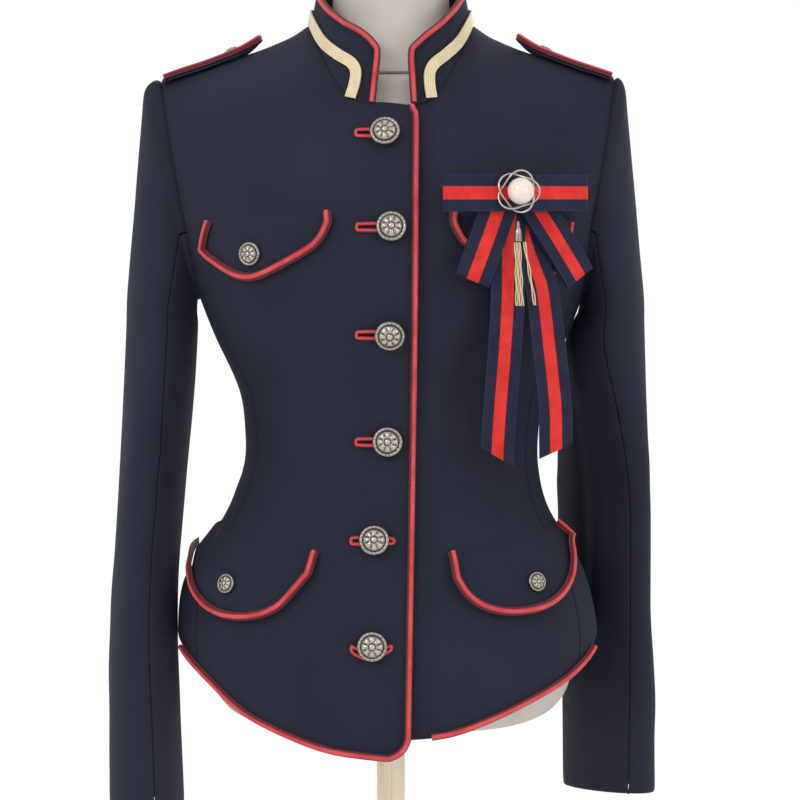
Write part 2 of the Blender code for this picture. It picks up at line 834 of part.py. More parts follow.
def collar_edges(away, side):
    """The seam point and the top point. away is 0 at the front edge and 1 at the centre back.

    The seam runs straight from station to station, as the panels' edges do."""
    at = away * COLLAR_STEPS
    before = min(int(at), COLLAR_STEPS - 1)
    start = seam_point(before)
    if before == 0:
        start = body_point(COLLAR_START[side], start.z, False)
    seam = start.lerp(seam_point(before + 1), at - before)
    steps = list(range(COLLAR_STEPS + 1))
    top = Vector([along(steps, COLLAR[name], at) for name in ("top_x", "top_y", "top_z")])
    seam = Vector((seam.x * side, seam.y, seam.z + COLLAR_LIFT))
    top.x = top.x * side + along(steps, COLLAR["shift"], at)
    return seam, top


def collar_point(round_share, v):
    """round_share runs from the right front edge at 0, by the back at 0.5, to the left at 1."""
    if round_share <= 0.5:
        seam, top = collar_edges(2 * round_share, RIGHT)
    else:
        seam, top = collar_edges(2 - 2 * round_share, LEFT)
    return seam.lerp(top, v)


def collar_place(u, v, depth):
    point = collar_point(u, v)
    low, high = max(u - 0.004, 0), min(u + 0.004, 1)
    if low < 0.5 < high:
        round_it = Vector((1, 0, 0))
    else:
        round_it = collar_point(high, v) - collar_point(low, v)
    up = collar_point(u, 1) - collar_point(u, 0)
    normal = round_it.cross(up).normalized()
    return point + normal * depth


# The braid's route on one half of the collar, by station along it and share of its height
BRAID = table(
    "station height",
    (1.55, 0.03),
    (1.48, 0.25),
    (1.60, 0.42),
    (2.10, 0.48),
    (3.00, 0.42),
    (4.00, 0.29),
    (5.00, 0.24),
    (6.00, 0.28),
    (7.00, 0.30),
    (8.00, 0.30),
)


def braid_station(share):
    """The braid's middle at a share of its length, as a place on the collar."""
    last = len(BRAID["station"]) - 1
    steps = list(range(last + 1))
    at = last * (1 - abs(2 * share - 1))
    station = along(steps, BRAID["station"], at)
    height = along(steps, BRAID["height"], at)
    round_share = station / COLLAR_STEPS / 2
    return (round_share if share <= 0.5 else 1 - round_share), height


def braid_place(u, v, depth):
    lift = BRAID_GAP + BRAID_THICKNESS - depth
    middle = collar_place(*braid_station(v), -lift)
    before = collar_place(*braid_station(max(v - 0.006, 0)), -lift)
    after = collar_place(*braid_station(min(v + 0.006, 1)), -lift)
    raised = collar_place(*braid_station(v), -lift - 0.001)
    across = (after - before).cross(raised - middle).normalized()
    return middle + across * (u - 0.5) * BRAID_WIDTH


# ---------------------------------------------------------------- flaps and shoulder straps


def flap_place(kind, side):
    """u runs from the flap's front end to its side end, v from its seam to its lower edge."""
    flap = dict(zip(FLAP_COLUMNS.split(), FLAPS[kind, side]))
    edge = FLAP_EDGES[kind, side]

    def place(u, v, depth):
        turn = mix(flap["front"], flap["side"], u)
        drop = along(edge["turn"], edge["drop"], turn - flap["front"]) * v
        turn -= flap["lean"] * u**3 * (1 - v)
        z = mix(flap["top_front"], flap["top_side"], u) - drop
        lift = LIE_GAP + CLOTH + flap["lift"] * v**1.5
        return on_body(turn * side, z, lift - depth)

    return place


def rounded(share):
    """A share from 0 to 1 that moves slowly near both ends."""
    return (1 - math.cos(math.pi * share)) / 2


def add_flap(kind, side, word):
    flap = dict(zip(FLAP_COLUMNS.split(), FLAPS[kind, side]))
    place = flap_place(kind, side)

    def spread_place(u, v, depth):
        return place(mix(u, rounded(u), 0.7), v, depth)

    add_sheet(f"flap_{kind}_{word}", "navy_wool", 10, 4, spread_place)
    lift = -(PIPING_RADIUS + 0.0015)
    edge = [(0.012, v) for v in (0.08, 0.5)]
    edge += [(mix(0.012, 0.988, rounded(i / 15)), 0.96) for i in range(16)]
    if flap["side"] < 90:  # a side end that lies further back has no piping up it
        edge += [(0.988, v) for v in (0.5, 0.08)]
    points = [place(u, v, lift) for u, v in edge]
    add_cord(f"piping_flap_{kind}_{word}", "red_piping", points, PIPING_RADIUS)
    turn, down, radius = FLAP_BUTTONS[kind, side]
    along_flap = turn / (flap["side"] - flap["front"])
    seat = place(along_flap, down, -BUTTON_GAP)
    facing = seat - place(along_flap, down, 0)
    add_button(f"button_flap_{kind}_{word}", seat, facing, radius)


STRAP = table(
    "share x lift half_width",
    (0.00, 0.1870, 0.0022, 0.0190),
    (0.25, 0.1670, 0.0030, 0.0190),
    (0.55, 0.1420, 0.0042, 0.0185),
    (0.80, 0.1215, 0.0060, 0.0170),
    (0.93, 0.1115, 0.0078, 0.0110),
    (1.00, 0.1070, 0.0088, 0.0030),
)
STRAP_DROOP = 12.0  # how much the strap's edges bend down, per metre squared of its width


def strap_place(side):
    """u runs across the shoulder strap from front to back, v from the sleeve to its free end."""
    reach = WEARER_SIDE_SHARE[side]

    def place(u, v, depth):
        x = along(STRAP["share"], STRAP["x"], v) * reach
        y = (2 * u - 1) * along(STRAP["share"], STRAP["half_width"], v)
        lift = along(STRAP["share"], STRAP["lift"], v)
        z = along(SHOULDER["x"], SHOULDER["z"], x) + lift - STRAP_DROOP * y * y
        return Vector((side * x, y, z - depth))

    return place


def add_strap(side, word):
    place = strap_place(side)
    add_sheet(f"strap_{word}", "navy_wool", 6, 8, place)
    lift = -(PIPING_RADIUS + 0.0006)
    shares = (0.02, 0.2, 0.4, 0.6, 0.78, 0.9, 0.97)
    edge = [(0.05, v) for v in shares] + [(0.5, 0.985)] + [(0.95, v) for v in shares[::-1]]
    add_cord(
        f"piping_strap_{word}",
        "red_piping",
        [place(u, v, lift) for u, v in edge],
        PIPING_RADIUS,
    )
    seat = place(0.46, 0.70, -BUTTON_GAP - 0.0005)
    facing = (0.36 * side, -0.08, 1)
    add_button(f"button_strap_{word}", seat, facing, SMALL_BUTTON_RADIUS)


# ---------------------------------------------------------------- piping, buttons, buttonholes


def add_front_piping():
    """Down the right front's free edge and round its hem, and along the left front's hem."""
    lift = PIPING_RADIUS + 0.0011
    inset = 0.0022
    low = hem_height(-1)
    neck = COLLAR["z"][0] - NECK_CORNER - 0.0006
    points = []
    for down, bend in ((0, 0.0036), (0.0045, 0.0017), (0.009, 0.0003)):
        points.append(on_front(front_edge(neck) - inset - bend, neck - down, lift))
    steps = 20
    for i in range(1, steps + 1):
        z = mix(neck - 0.014, low + CORNER_RADIUS, i / steps)
        points.append(on_front(front_edge(z) - inset, z, lift))
    radius = CORNER_RADIUS - inset
    for degrees in (18, 36, 54, 72, 90):
        angle = math.radians(degrees)
        x = front_edge(low) - CORNER_RADIUS + radius * math.cos(angle)
        z = low + CORNER_RADIUS - radius * math.sin(angle)
        points.append(on_front(x, z, lift))
    for i in range(1, 16):
        turn = mix(-2.5, -HEM_PIPING_END, i / 15)
        points.append(on_body(turn, hem_height(turn) + inset, lift))
    add_cord("piping_front_right", "red_piping", points, PIPING_RADIUS)

    points = []
    for i in range(16):
        turn = mix(9.5, HEM_PIPING_END, i / 15)
        points.append(on_body(turn, hem_height(turn) + inset, lift))
    add_cord("piping_front_left", "red_piping", points, PIPING_RADIUS)


def add_collar_piping():
    """Up one front edge of the collar, round its top and down the other."""
    lift = -(PIPING_RADIUS + 0.0003)
    inset = 0.010
    edge = [(inset, v) for v in (0.02, 0.35, 0.65)] + [(inset + 0.002, 0.86)]
    edge += [(mix(0.022, 0.978, i / 30), 0.955) for i in range(31)]
    edge += [(1 - u, v) for u, v in edge[3::-1]]
    points = [collar_place(u, v, lift) for u, v in edge]
    add_cord("piping_collar", "red_piping", points, PIPING_RADIUS)


def add_button(name, at, facing, radius):
    """A domed metal button with a rim, standing on its face."""
    shares = (
        (0.00, 0.52),
        (0.40, 0.48),
        (0.72, 0.34),
        (0.82, 0.26),
        (0.92, 0.30),
        (1.00, 0.20),
        (0.88, 0.00),
        (0.00, 0.00),
    )
    profile = [(radius * out, radius * up) for out, up in shares]
    steps = 14 if radius > SMALL_BUTTON_RADIUS else 10
    return add_turned(name, "silver", profile, steps, at, Vector(facing).normalized())


def add_front_buttons():
    lift = BUTTONHOLE_RADIUS + LIE_GAP + 0.0005
    for i, (x, z) in enumerate(zip(FRONT_BUTTONS["x"], FRONT_BUTTONS["z"])):
        seat = on_front(x, z, lift + BUTTONHOLE_RADIUS + 0.0006)
        add_button(f"button_front_{i + 1}", seat, body_normal(seat), BUTTON_RADIUS)
        start, end = FRONT_BUTTONS["hole_start"][i], FRONT_BUTTONS["hole_end"][i]
        middle, reach = (start + end) / 2, (end - start) / 2
        points = []
        for around in (0, 45, 90, 112, 135, 225, 248, 270, 315):
            angle = math.radians(around)
            across = math.copysign(abs(math.cos(angle)) ** 0.4, math.cos(angle)) * reach
            up = math.sin(angle) * BUTTONHOLE_HALF_HEIGHT
            sag = FRONT_BUTTONS["sag"][i] * (1 - (across / reach) ** 2)
            points.append(on_front(middle + across, z + up - sag, lift))
        add_cord(f"buttonhole_{i + 1}", "red_piping", points, BUTTONHOLE_RADIUS, True, 0)


# ---------------------------------------------------------------- bow and brooch


def ribbon_place(route, across, width=RIBBON_WIDTH, slant=0.0):
    """A ribbon along a route. across points over its width, and slant cuts its far end askew."""

    def place(u, v, depth):
        short = 1 - u if slant > 0 else u
        v -= abs(slant) * short * max(v - 0.85, 0) / 0.15
        middle = route_point(route, v)
        before = route_point(route, max(v - 0.003, 0))
        after = route_point(route, min(v + 0.003, 1))
        normal = across.cross(after - before).normalized()
        return middle + across * (u - 0.5) * width - normal * depth

    return place


def folded_loop(root, tip, out, gap):
    """Out from the root along the back layer, round the tip and home along the front layer."""
    root, tip, out = Vector(root), Vector(tip), Vector(out).normalized()
    away = (tip - root).normalized()
    back = [root.lerp(tip, share) + out * bow for share, bow in ((0, 0), (0.5, 0.0012), (0.92, 0))]
    turn = [
        tip + out * gap * 0.12 - away * 0.0008,
        tip + out * gap * 0.5 + away * 0.0006,
        tip + out * gap * 0.88 - away * 0.0008,
    ]
    front = [
        root.lerp(tip, share) + out * (gap + bow)
        for share, bow in ((0.92, 0), (0.5, 0.0010), (0, 0))
    ]
    return back + turn + front


TAIL_RIGHT = (
    (0.0948, -0.1094, 0.7220),
    (0.0927, -0.1128, 0.6973),
    (0.0922, -0.1169, 0.6760),
    (0.0919, -0.1168, 0.6462),
    (0.0895, -0.1125, 0.6050),
    (0.0864, -0.1100, 0.5660),
    (0.0845, -0.1085, 0.5380),
    (0.0838, -0.1075, 0.5170),
)
TAIL_LEFT = (
    (0.1015, -0.1050, 0.7220),
    (0.1060, -0.1046, 0.6970),
    (0.1145, -0.1056, 0.6730),
    (0.1197, -0.1046, 0.6570),
    (0.1249, -0.1050, 0.6140),
    (0.1300, -0.1038, 0.5660),
    (0.1306, -0.1030, 0.5400),
    (0.1308, -0.1025, 0.5235),
)
TAIL_ACROSS = Vector((1, 0.42, 0))
TAIL_SLANT = 0.11  # how much of its length a tail's cut end runs askew
# Each loop's root and tip on the layer next to the jacket, and the way its layers part
BOW_LOOPS = {
    "right": ((0.0884, -0.1192, 0.7330), (0.0640, -0.1296, 0.6650), (0.30, -1, 0)),
    "left": ((0.1075, -0.1060, 0.7330), (0.1490, -0.0892, 0.6680), (0.62, -1, 0)),
}
BOW_BAR = ((0.0425, -0.1382, 0.7319), (0.0995, -0.1214, 0.7328), (0.1555, -0.0885, 0.7347))
LAYER_GAP = 0.0023  # between the two layers of a folded ribbon


def add_ribbon(name, rows, route, across, slant=0.0):
    place = ribbon_place(route, across.normalized(), slant=slant)
    add_sheet(name, "ribbon", 2, rows, place, RIBBON_THICKNESS)


def add_bow():
    add_ribbon("bow_tail_right", 9, TAIL_RIGHT, TAIL_ACROSS, TAIL_SLANT)
    add_ribbon("bow_tail_left", 9, TAIL_LEFT, TAIL_ACROSS, -TAIL_SLANT)
    for word, (root, tip, out) in BOW_LOOPS.items():
        across = (Vector(tip) - Vector(root)).cross(Vector(out))
        add_ribbon(f"bow_loop_{word}", 14, folded_loop(root, tip, out, LAYER_GAP), across)
    start, middle, end = (Vector(point) for point in BOW_BAR)
    parted = Vector((0.0006, 0, 0))
    first = folded_loop(middle - parted, start, (0, -1, 0), LAYER_GAP)
    second = folded_loop(middle + parted, end, (0, -1, 0), LAYER_GAP)
    add_ribbon("bow_bar", 26, first[:-1] + second[::-1], Vector((0, 0, 1)))


BROOCH = Vector((0.1000, -0.1334, 0.7335))  # the middle of the wire rings
PEARL_RADIUS = 0.0105
PEARL_PLACE = Vector((0.0020, -0.0056, 0))  # the pearl's middle from there
WIRE_RADIUS = 0.0009
WIRE_TURNS, WIRE_WAVES = 2, 5
WIRE_MIDDLE, WIRE_SWING, WIRE_DEPTH = 0.0143, 0.0024, 0.0017
CAP_DROP = 0.0390  # from the rings' middle down to the underside of the tassel's cap


def add_brooch():
    """Interlaced wire rings with a pearl in front, and a tassel of two strands."""
    steps = 60
    points = []
    for i in range(steps):
        share = 2 * math.pi * i / steps
        reach = WIRE_MIDDLE + WIRE_SWING * math.cos(WIRE_WAVES * share)
        across = reach * math.cos(WIRE_TURNS * share)
        up = reach * math.sin(WIRE_TURNS * share)
        forward = WIRE_DEPTH * math.sin(WIRE_WAVES * share)
        points.append(BROOCH + Vector((across, -forward, up)))
    add_cord("brooch_wire", "silver", points, WIRE_RADIUS, True, 0)

    pearl = bmesh.new()
    bmesh.ops.create_uvsphere(pearl, u_segments=14, v_segments=9, radius=PEARL_RADIUS)
    piece = finish_mesh("brooch_pearl", pearl, "pearl", 180)
    piece.location = BROOCH + PEARL_PLACE

    cap = ((0, 0.0160), (0.0011, 0.0150), (0.0013, 0.0110), (0.0024, 0.0085), (0.0031, 0), (0, 0))
    hung = BROOCH + Vector((0, 0.0034, -CAP_DROP))
    add_turned("tassel_cap", "silver", cap, 12, hung)
    strands = {
        "tassel_chain": ((-0.0004, 0, -0.0005), (0.0014, 0.0040, -0.0505), 0.0066),
        "tassel_thread": ((0.0049, 0, -0.0005), (0.0135, 0.0040, -0.0500), 0.0026),
    }
    for name, (start, end, width) in strands.items():
        route = [hung + Vector(start).lerp(Vector(end), share) for share in (0, 0.33, 0.66, 1)]
        place = ribbon_place(route, Vector((1, 0, 0)), width)
        add_sheet(name, "pearl", 2, 6, place, 0.0022)


# ---------------------------------------------------------------- dress form and stand


def add_lofted(name, rows, segments, rings):
    """A closed, rounded body whose level sections follow a table, with its ends closed."""
    shape = bmesh.new()
    bmesh.ops.create_uvsphere(shape, u_segments=segments, v_segments=rings, radius=1)
    steps = list(range(len(rows["z"])))
    for vert in shape.verts:
        share = math.acos(max(min(-vert.co.z, 1), -1)) / math.pi
        at = share * steps[-1]
        out = Vector((vert.co.x, vert.co.y, 0))
        out = out.normalized() if out.length > 1e-6 else out * 0
        depth = along(steps, rows["back" if out.y > 0 else "front"], at)
        x = out.x * along(steps, rows["wide"], at)
        vert.co = (x, out.y * depth, along(steps, rows["z"], at))
    return finish_mesh(name, shape, "form_cloth", 60)


def add_form():
    closed = {name: column + [column[-1] if name == "z" else 0.0] for name, column in FORM.items()}
    closed["z"][-1] = FORM["z"][-1] + 0.00005
    add_lofted("form_torso", closed, 24, len(closed["z"]) - 1)
    add_lofted("form_neck", FORM_NECK, 20, len(FORM_NECK["z"]) - 1)


def add_stand():
    edge = 0.0030
    profile = [
        (0, FOOT_TOP),
        (POLE_RADIUS + 0.002, FOOT_TOP),
        (FOOT_RADIUS, FOOT_TOP - 0.004),
        (FOOT_RADIUS, BASE_HEIGHT),
        (BASE_RADIUS - edge, BASE_HEIGHT),
        (BASE_RADIUS - edge * 0.3, BASE_HEIGHT - edge * 0.3),
        (BASE_RADIUS, BASE_HEIGHT - edge),
        (BASE_RADIUS, 0.0010),
        (BASE_RADIUS - 0.0010, 0),
        (0, 0),
    ]
    add_turned("stand_base", "stand_metal", profile, 36)
    height = POLE_TOP - FOOT_TOP - 0.0003
    pole = bmesh.new()
    bmesh.ops.create_cone(
        pole, cap_ends=True, segments=24, radius1=POLE_RADIUS, radius2=POLE_RADIUS, depth=height
    )
    piece = finish_mesh("stand_pole", pole, "stand_metal")
    piece.location.z = POLE_TOP - height / 2


# ---------------------------------------------------------------- the whole object


def add_panels():
    columns = LAP_COLUMNS + FRONT_COLUMNS
    add_sheet("front_right", "navy_wool", columns, PANEL_ROWS, right_front_place)
    add_sheet("front_left", "navy_wool", columns, PANEL_ROWS, left_front_place)
    for side, word in ((RIGHT, "right"), (LEFT, "left")):
        add_sheet(f"side_{word}", "navy_wool", 6, 12, side_place(side))
        add_sheet(f"back_{word}", "navy_wool", BACK_COLUMNS, PANEL_ROWS, back_place(side))


def build():
    add_panels()
    add_sleeves()
    add_sheet("collar", "navy_wool", 32, 3, collar_place)
    add_sheet("collar_braid", "gold_braid", 1, 42, braid_place, BRAID_THICKNESS)
    add_collar_piping()
    add_front_piping()
    for side, word in ((RIGHT, "right"), (LEFT, "left")):
        add_strap(side, word)
        for kind in ("chest", "hip"):
            add_flap(kind, side, word)
    add_front_buttons()
    add_bow()
    add_brooch()
    add_form()
    add_stand()


for old in list(bpy.data.objects):
    bpy.data.objects.remove(old, do_unlink=True)
MATERIALS = {name: make_material(name) for name in COLOURS}
JACKET = bpy.data.collections.new("military_jacket_on_form")
bpy.context.scene.collection.children.link(JACKET)
build()
bpy.context.view_layer.update()
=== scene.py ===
"""Looks of the military jacket on its dress form. Metres, +Z up, and the jacket faces -Y.

Each piece of cloth is a thin shell on its solid's form, laid out from the same sizes as the
solid but more finely, with the soft folds of the cloth added. A turn is measured round the
body: 0 at the centre front, 90 degrees at the wearer's left side and 180 at the centre back.
"""

import math

import bmesh
import bpy
from mathutils import Matrix, Vector, noise


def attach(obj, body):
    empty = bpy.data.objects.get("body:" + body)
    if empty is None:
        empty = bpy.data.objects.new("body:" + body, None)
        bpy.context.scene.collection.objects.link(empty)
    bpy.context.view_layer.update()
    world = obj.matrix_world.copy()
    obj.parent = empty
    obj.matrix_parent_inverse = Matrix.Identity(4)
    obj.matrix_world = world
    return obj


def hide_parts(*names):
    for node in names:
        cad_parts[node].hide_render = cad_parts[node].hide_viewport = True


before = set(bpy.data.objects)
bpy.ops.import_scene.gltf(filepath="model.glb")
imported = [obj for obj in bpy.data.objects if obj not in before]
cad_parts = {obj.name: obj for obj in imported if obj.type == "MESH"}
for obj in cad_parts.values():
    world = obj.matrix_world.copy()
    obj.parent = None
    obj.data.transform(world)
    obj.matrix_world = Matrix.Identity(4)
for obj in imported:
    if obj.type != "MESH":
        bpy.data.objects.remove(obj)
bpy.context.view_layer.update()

RIGHT, LEFT = -1, 1  # the wearer's sides, as signs of X
SIDES = ((RIGHT, "right"), (LEFT, "left"))

# Driving sizes
CLOTH = 0.0020  # thickness of the wool cloth
SEAM_GAP = 0.0004  # between two panels at a seam
LIE_GAP = 0.0008  # below a trim that lies on a panel
PIPING_RADIUS = 0.0021
RIBBON_WIDTH = 0.0290
RIBBON_THICKNESS = 0.0010
BRAID_WIDTH = 0.0092
BRAID_THICKNESS = 0.0012
BRAID_GAP = 0.0016  # below the braid, because the collar's faces are flat between its columns
BUTTON_RADIUS = 0.0120
SMALL_BUTTON_RADIUS = 0.0073
BUTTON_GAP = 0.0007  # between a small button and its cloth
MERGE_WITHIN = 0.000002  # points nearer than this are one
NEAR = 0.004  # share of a length, to either side of a point, over which its direction is taken

SECTION_POWER = 2.2  # 2 is an ellipse, more is squarer
SHOULDER_ROUND = 0.150  # drop below the shoulder line over which the body rounds over
UNDERLAP_EDGE = -0.012  # x of the left front's edge, under the right front
CORNER_RADIUS = 0.020  # lower corner of the right front

WEARER_SIDE_SHARE = {RIGHT: 1.0, LEFT: 0.972}  # how far each shoulder reaches
ARMHOLE_BLEND = 0.060  # height above the armhole's lowest point where that reach is full


def table(columns, *rows):
    """A table as a dictionary of columns."""
    return {name: [row[i] for row in rows] for i, name in enumerate(columns.split())}


# The jacket's outer face. right and left are half widths, front and back are depths.
TORSO = table(
    "z right left front back",
    (0.270, 0.170, 0.165, 0.110, 0.124),
    (0.381, 0.1745, 0.169, 0.112, 0.128),
    (0.422, 0.1700, 0.1610, 0.110, 0.124),
    (0.446, 0.1550, 0.1510, 0.107, 0.118),
    (0.484, 0.1335, 0.1280, 0.100, 0.104),
    (0.517, 0.1205, 0.1205, 0.095, 0.096),
    (0.549, 0.1195, 0.1212, 0.094, 0.094),
    (0.578, 0.124, 0.1252, 0.099, 0.096),
    (0.622, 0.144, 0.144, 0.111, 0.102),
    (0.654, 0.1566, 0.1566, 0.119, 0.106),
    (0.680, 0.1670, 0.1670, 0.121, 0.109),
    (0.735, 0.1870, 0.1870, 0.113, 0.112),
    (0.780, 0.1960, 0.1960, 0.102, 0.108),
    (0.830, 0.2050, 0.2050, 0.088, 0.096),
    (0.910, 0.2100, 0.2100, 0.068, 0.074),
)

# The shoulder line, from the centre to the shoulder's tip and past it
SHOULDER = table(
    "x z",
    (0.000, 0.9050),
    (0.066, 0.8775),
    (0.078, 0.8690),
    (0.091, 0.8628),
    (0.109, 0.8556),
    (0.150, 0.8426),
    (0.1885, 0.8308),
    (0.215, 0.8150),
)

# The armhole's edge on the front and on the back
ARMHOLE = table(
    "z front back",
    (0.6540, 0.1566, 0.1566),
    (0.6700, 0.1590, 0.1600),
    (0.7000, 0.1640, 0.1670),
    (0.7350, 0.1715, 0.1745),
    (0.7800, 0.1805, 0.1820),
    (0.8150, 0.1860, 0.1865),
    (0.8308, 0.1885, 0.1885),
)

# The right front's free edge, past the centre
FRONT_EDGE = table(
    "z x",
    (0.300, 0.0158),
    (0.380, 0.0172),
    (0.520, 0.0196),
    (0.620, 0.0210),
    (0.710, 0.0218),
    (0.810, 0.0222),
)

# The hem's height by turn, on the right half and on the left half
HEM = table(
    "turn right left",
    (0, 0.2845, 0.2985),
    (14, 0.2905, 0.3036),
    (26, 0.3020, 0.3147),
    (40, 0.3190, 0.3300),
    (54, 0.3430, 0.3450),
    (64, 0.3570, 0.3570),
    (76, 0.3710, 0.3710),
    (90, 0.3785, 0.3785),
    (130, 0.3720, 0.3720),
    (180, 0.3620, 0.3620),
)

HEM_PIPING_END = 73  # turn where the hem's piping ends, under the arm

# The neck seam and the stand collar's top edge, from the front edge to the centre back.
# on_back is 1 where the seam lies on the back, and shift moves the top to the wearer's left.
COLLAR = table(
    "x z on_back top_x top_y top_z shift",
    (0.0165, 0.8075, 0, 0.0118, -0.0790, 0.8490, 0.0027),
    (0.0265, 0.8085, 0, 0.0185, -0.0763, 0.8588, 0.0040),
    (0.0365, 0.8140, 0, 0.0280, -0.0700, 0.8680, 0.0038),
    (0.0460, 0.8288, 0, 0.0385, -0.0590, 0.8755, 0.0015),
    (0.0570, 0.8515, 0, 0.0515, -0.0390, 0.8895, 0.0000),
    (0.0660, 0.8775, 0, 0.0595, -0.0060, 0.9080, 0.0000),
    (0.0580, 0.8755, 1, 0.0545, 0.0220, 0.9130, 0.0000),
    (0.0350, 0.8710, 1, 0.0340, 0.0440, 0.9130, 0.0000),
    (0.0000, 0.8670, 1, 0.0000, 0.0535, 0.9120, 0.0000),
)
COLLAR_START = {RIGHT: 0.0125, LEFT: 0.0168}  # x of the collar's two ends on the neck seam
COLLAR_STEPS = len(COLLAR["x"]) - 1

# The sleeve below the armhole: its middle, its two half widths and how far it is turned
SLEEVES = {
    RIGHT: table(
        "z x y wide deep turn",
        (0.640, 0.1870, 0.002, 0.0265, 0.062, 4),
        (0.570, 0.1905, 0.000, 0.0258, 0.062, 4),
        (0.500, 0.1955, -0.003, 0.0245, 0.061, 4),
        (0.430, 0.2000, -0.006, 0.0235, 0.058, 4),
        (0.380, 0.2012, -0.008, 0.0240, 0.055, 4),
        (0.320, 0.2010, -0.010, 0.0262, 0.052, 4),
        (0.240, 0.1990, -0.012, 0.0280, 0.049, 4),
    ),
    LEFT: table(
        "z x y wide deep turn",
        (0.640, 0.1795, 0.007, 0.0250, 0.062, 5),
        (0.622, 0.1760, 0.010, 0.0288, 0.062, 8),
        (0.600, 0.1752, 0.015, 0.0290, 0.063, 12),
        (0.570, 0.1754, 0.022, 0.0262, 0.063, 18),
        (0.500, 0.1768, 0.042, 0.0205, 0.063, 27),
        (0.430, 0.1775, 0.057, 0.0200, 0.063, 28),
        (0.380, 0.1790, 0.064, 0.0200, 0.061, 28),
        (0.320, 0.1808, 0.060, 0.0240, 0.058, 28),
        (0.246, 0.1818, 0.058, 0.0264, 0.055, 28),
    ),
}
SLEEVE_TOP = 0.640  # height below which the sleeve hangs as a tube
SLEEVE_HEAD_SHARE = 0.40  # share of the sleeve's rows that lie above it
HEAD_FULLNESS = {RIGHT: 0.0100, LEFT: 0.0050}  # how far the sleeve heads stand past the armholes
HEAD_ROUND = 0.06  # share of the drop over which it rounds over
SLEEVE_SEAM = 115  # turn of the sleeve's two seams from its outer side
ARMHOLE_EASE = 0.0013  # between the armhole's edge and the sleeve

# Pocket flaps, from their front end to their side end, as turns and as heights of the seam.
# lift is how far the lower edge stands off the jacket.
FLAP_COLUMNS = "front side top_front top_side lift lean"
FLAPS = {
    ("chest", RIGHT): (13.5, 58.4, 0.7190, 0.7150, 0.0008, 7.4),
    ("chest", LEFT): (13.5, 52.3, 0.7190, 0.7150, 0.0008, 1.8),
    ("hip", RIGHT): (19.9, 96.0, 0.4510, 0.4710, 0.0025, 0.0),
    ("hip", LEFT): (16.0, 74.0, 0.4510, 0.4710, 0.0040, 0.0),
}
# How far a flap hangs below its seam, by turn from its front end
CHEST_EDGE = table(
    "turn drop",
    (0.0, 0.0060),
    (1.2, 0.0140),
    (2.8, 0.0220),
    (5.4, 0.0290),
    (12.0, 0.0385),
    (22.0, 0.0480),
    (28.0, 0.0495),
    (33.6, 0.0450),
    (40.4, 0.0345),
    (43.4, 0.0285),
    (44.9, 0.0215),
)
FLAP_EDGES = {
    ("chest", RIGHT): CHEST_EDGE,
    ("chest", LEFT): CHEST_EDGE,
    ("hip", RIGHT): table(
        "turn drop",
        (0.0, 0.0150),
        (1.5, 0.0230),
        (4.0, 0.0340),
        (8.0, 0.0480),
        (14.0, 0.0575),
        (20.0, 0.0610),
        (27.0, 0.0615),
        (33.0, 0.0585),
        (38.0, 0.0530),
        (43.0, 0.0460),
        (48.0, 0.0385),
        (56.0, 0.0290),
        (65.0, 0.0240),
        (76.1, 0.0220),
    ),
    ("hip", LEFT): table(
        "turn drop",
        (0.0, 0.0160),
        (1.7, 0.0300),
        (4.5, 0.0420),
        (9.0, 0.0510),
        (15.0, 0.0565),
        (24.0, 0.0585),
        (31.0, 0.0560),
        (36.0, 0.0510),
        (41.0, 0.0440),
        (47.0, 0.0310),
        (52.0, 0.0190),
        (58.0, 0.0150),
    ),
}
# Each flap button's turn from the front end, its place down the flap and its radius
FLAP_BUTTONS = {
    ("chest", RIGHT): (25.3, 0.62, 0.0095),
    ("chest", LEFT): (28.0, 0.62, 0.0073),
    ("hip", RIGHT): (27.0, 0.58, 0.0080),
    ("hip", LEFT): (26.9, 0.62, 0.0080),
}

# The dress form, from its underside to the top of its neck
FORM = table(
    "z wide front back",
    (0.3000, 0.000, 0.000, 0.000),
    (0.3002, 0.050, 0.034, 0.038),
    (0.3030, 0.095, 0.064, 0.072),
    (0.3110, 0.121, 0.080, 0.092),
    (0.3220, 0.136, 0.088, 0.102),
    (0.3400, 0.146, 0.095, 0.109),
    (0.3800, 0.152, 0.100, 0.114),
    (0.4200, 0.144, 0.099, 0.110),
    (0.4700, 0.122, 0.091, 0.094),
    (0.5100, 0.108, 0.085, 0.084),
    (0.5490, 0.107, 0.084, 0.082),
    (0.6000, 0.122, 0.094, 0.088),
    (0.6500, 0.141, 0.107, 0.094),
    (0.6850, 0.146, 0.109, 0.097),
    (0.7400, 0.150, 0.100, 0.099),
    (0.7850, 0.149, 0.083, 0.089),
    (0.8150, 0.138, 0.068, 0.078),
    (0.8320, 0.117, 0.061, 0.069),
)
FORM_NECK = table(
    "z wide front back",
    (0.8324, 0.000, 0.000, 0.000),
    (0.8326, 0.114, 0.059, 0.060),
    (0.8440, 0.088, 0.054, 0.054),
    (0.8550, 0.068, 0.050, 0.049),
    (0.8700, 0.053, 0.046, 0.044),
    (0.8900, 0.048, 0.044, 0.042),
    (0.9250, 0.047, 0.042, 0.041),
    (0.9400, 0.043, 0.037, 0.037),
    (0.9470, 0.026, 0.022, 0.025),
    (0.9480, 0.000, 0.000, 0.000),
)

BASE_RADIUS = 0.150
BASE_HEIGHT = 0.010
FOOT_RADIUS = 0.021
FOOT_TOP = 0.024
POLE_RADIUS = 0.0115
POLE_TOP = 0.2997

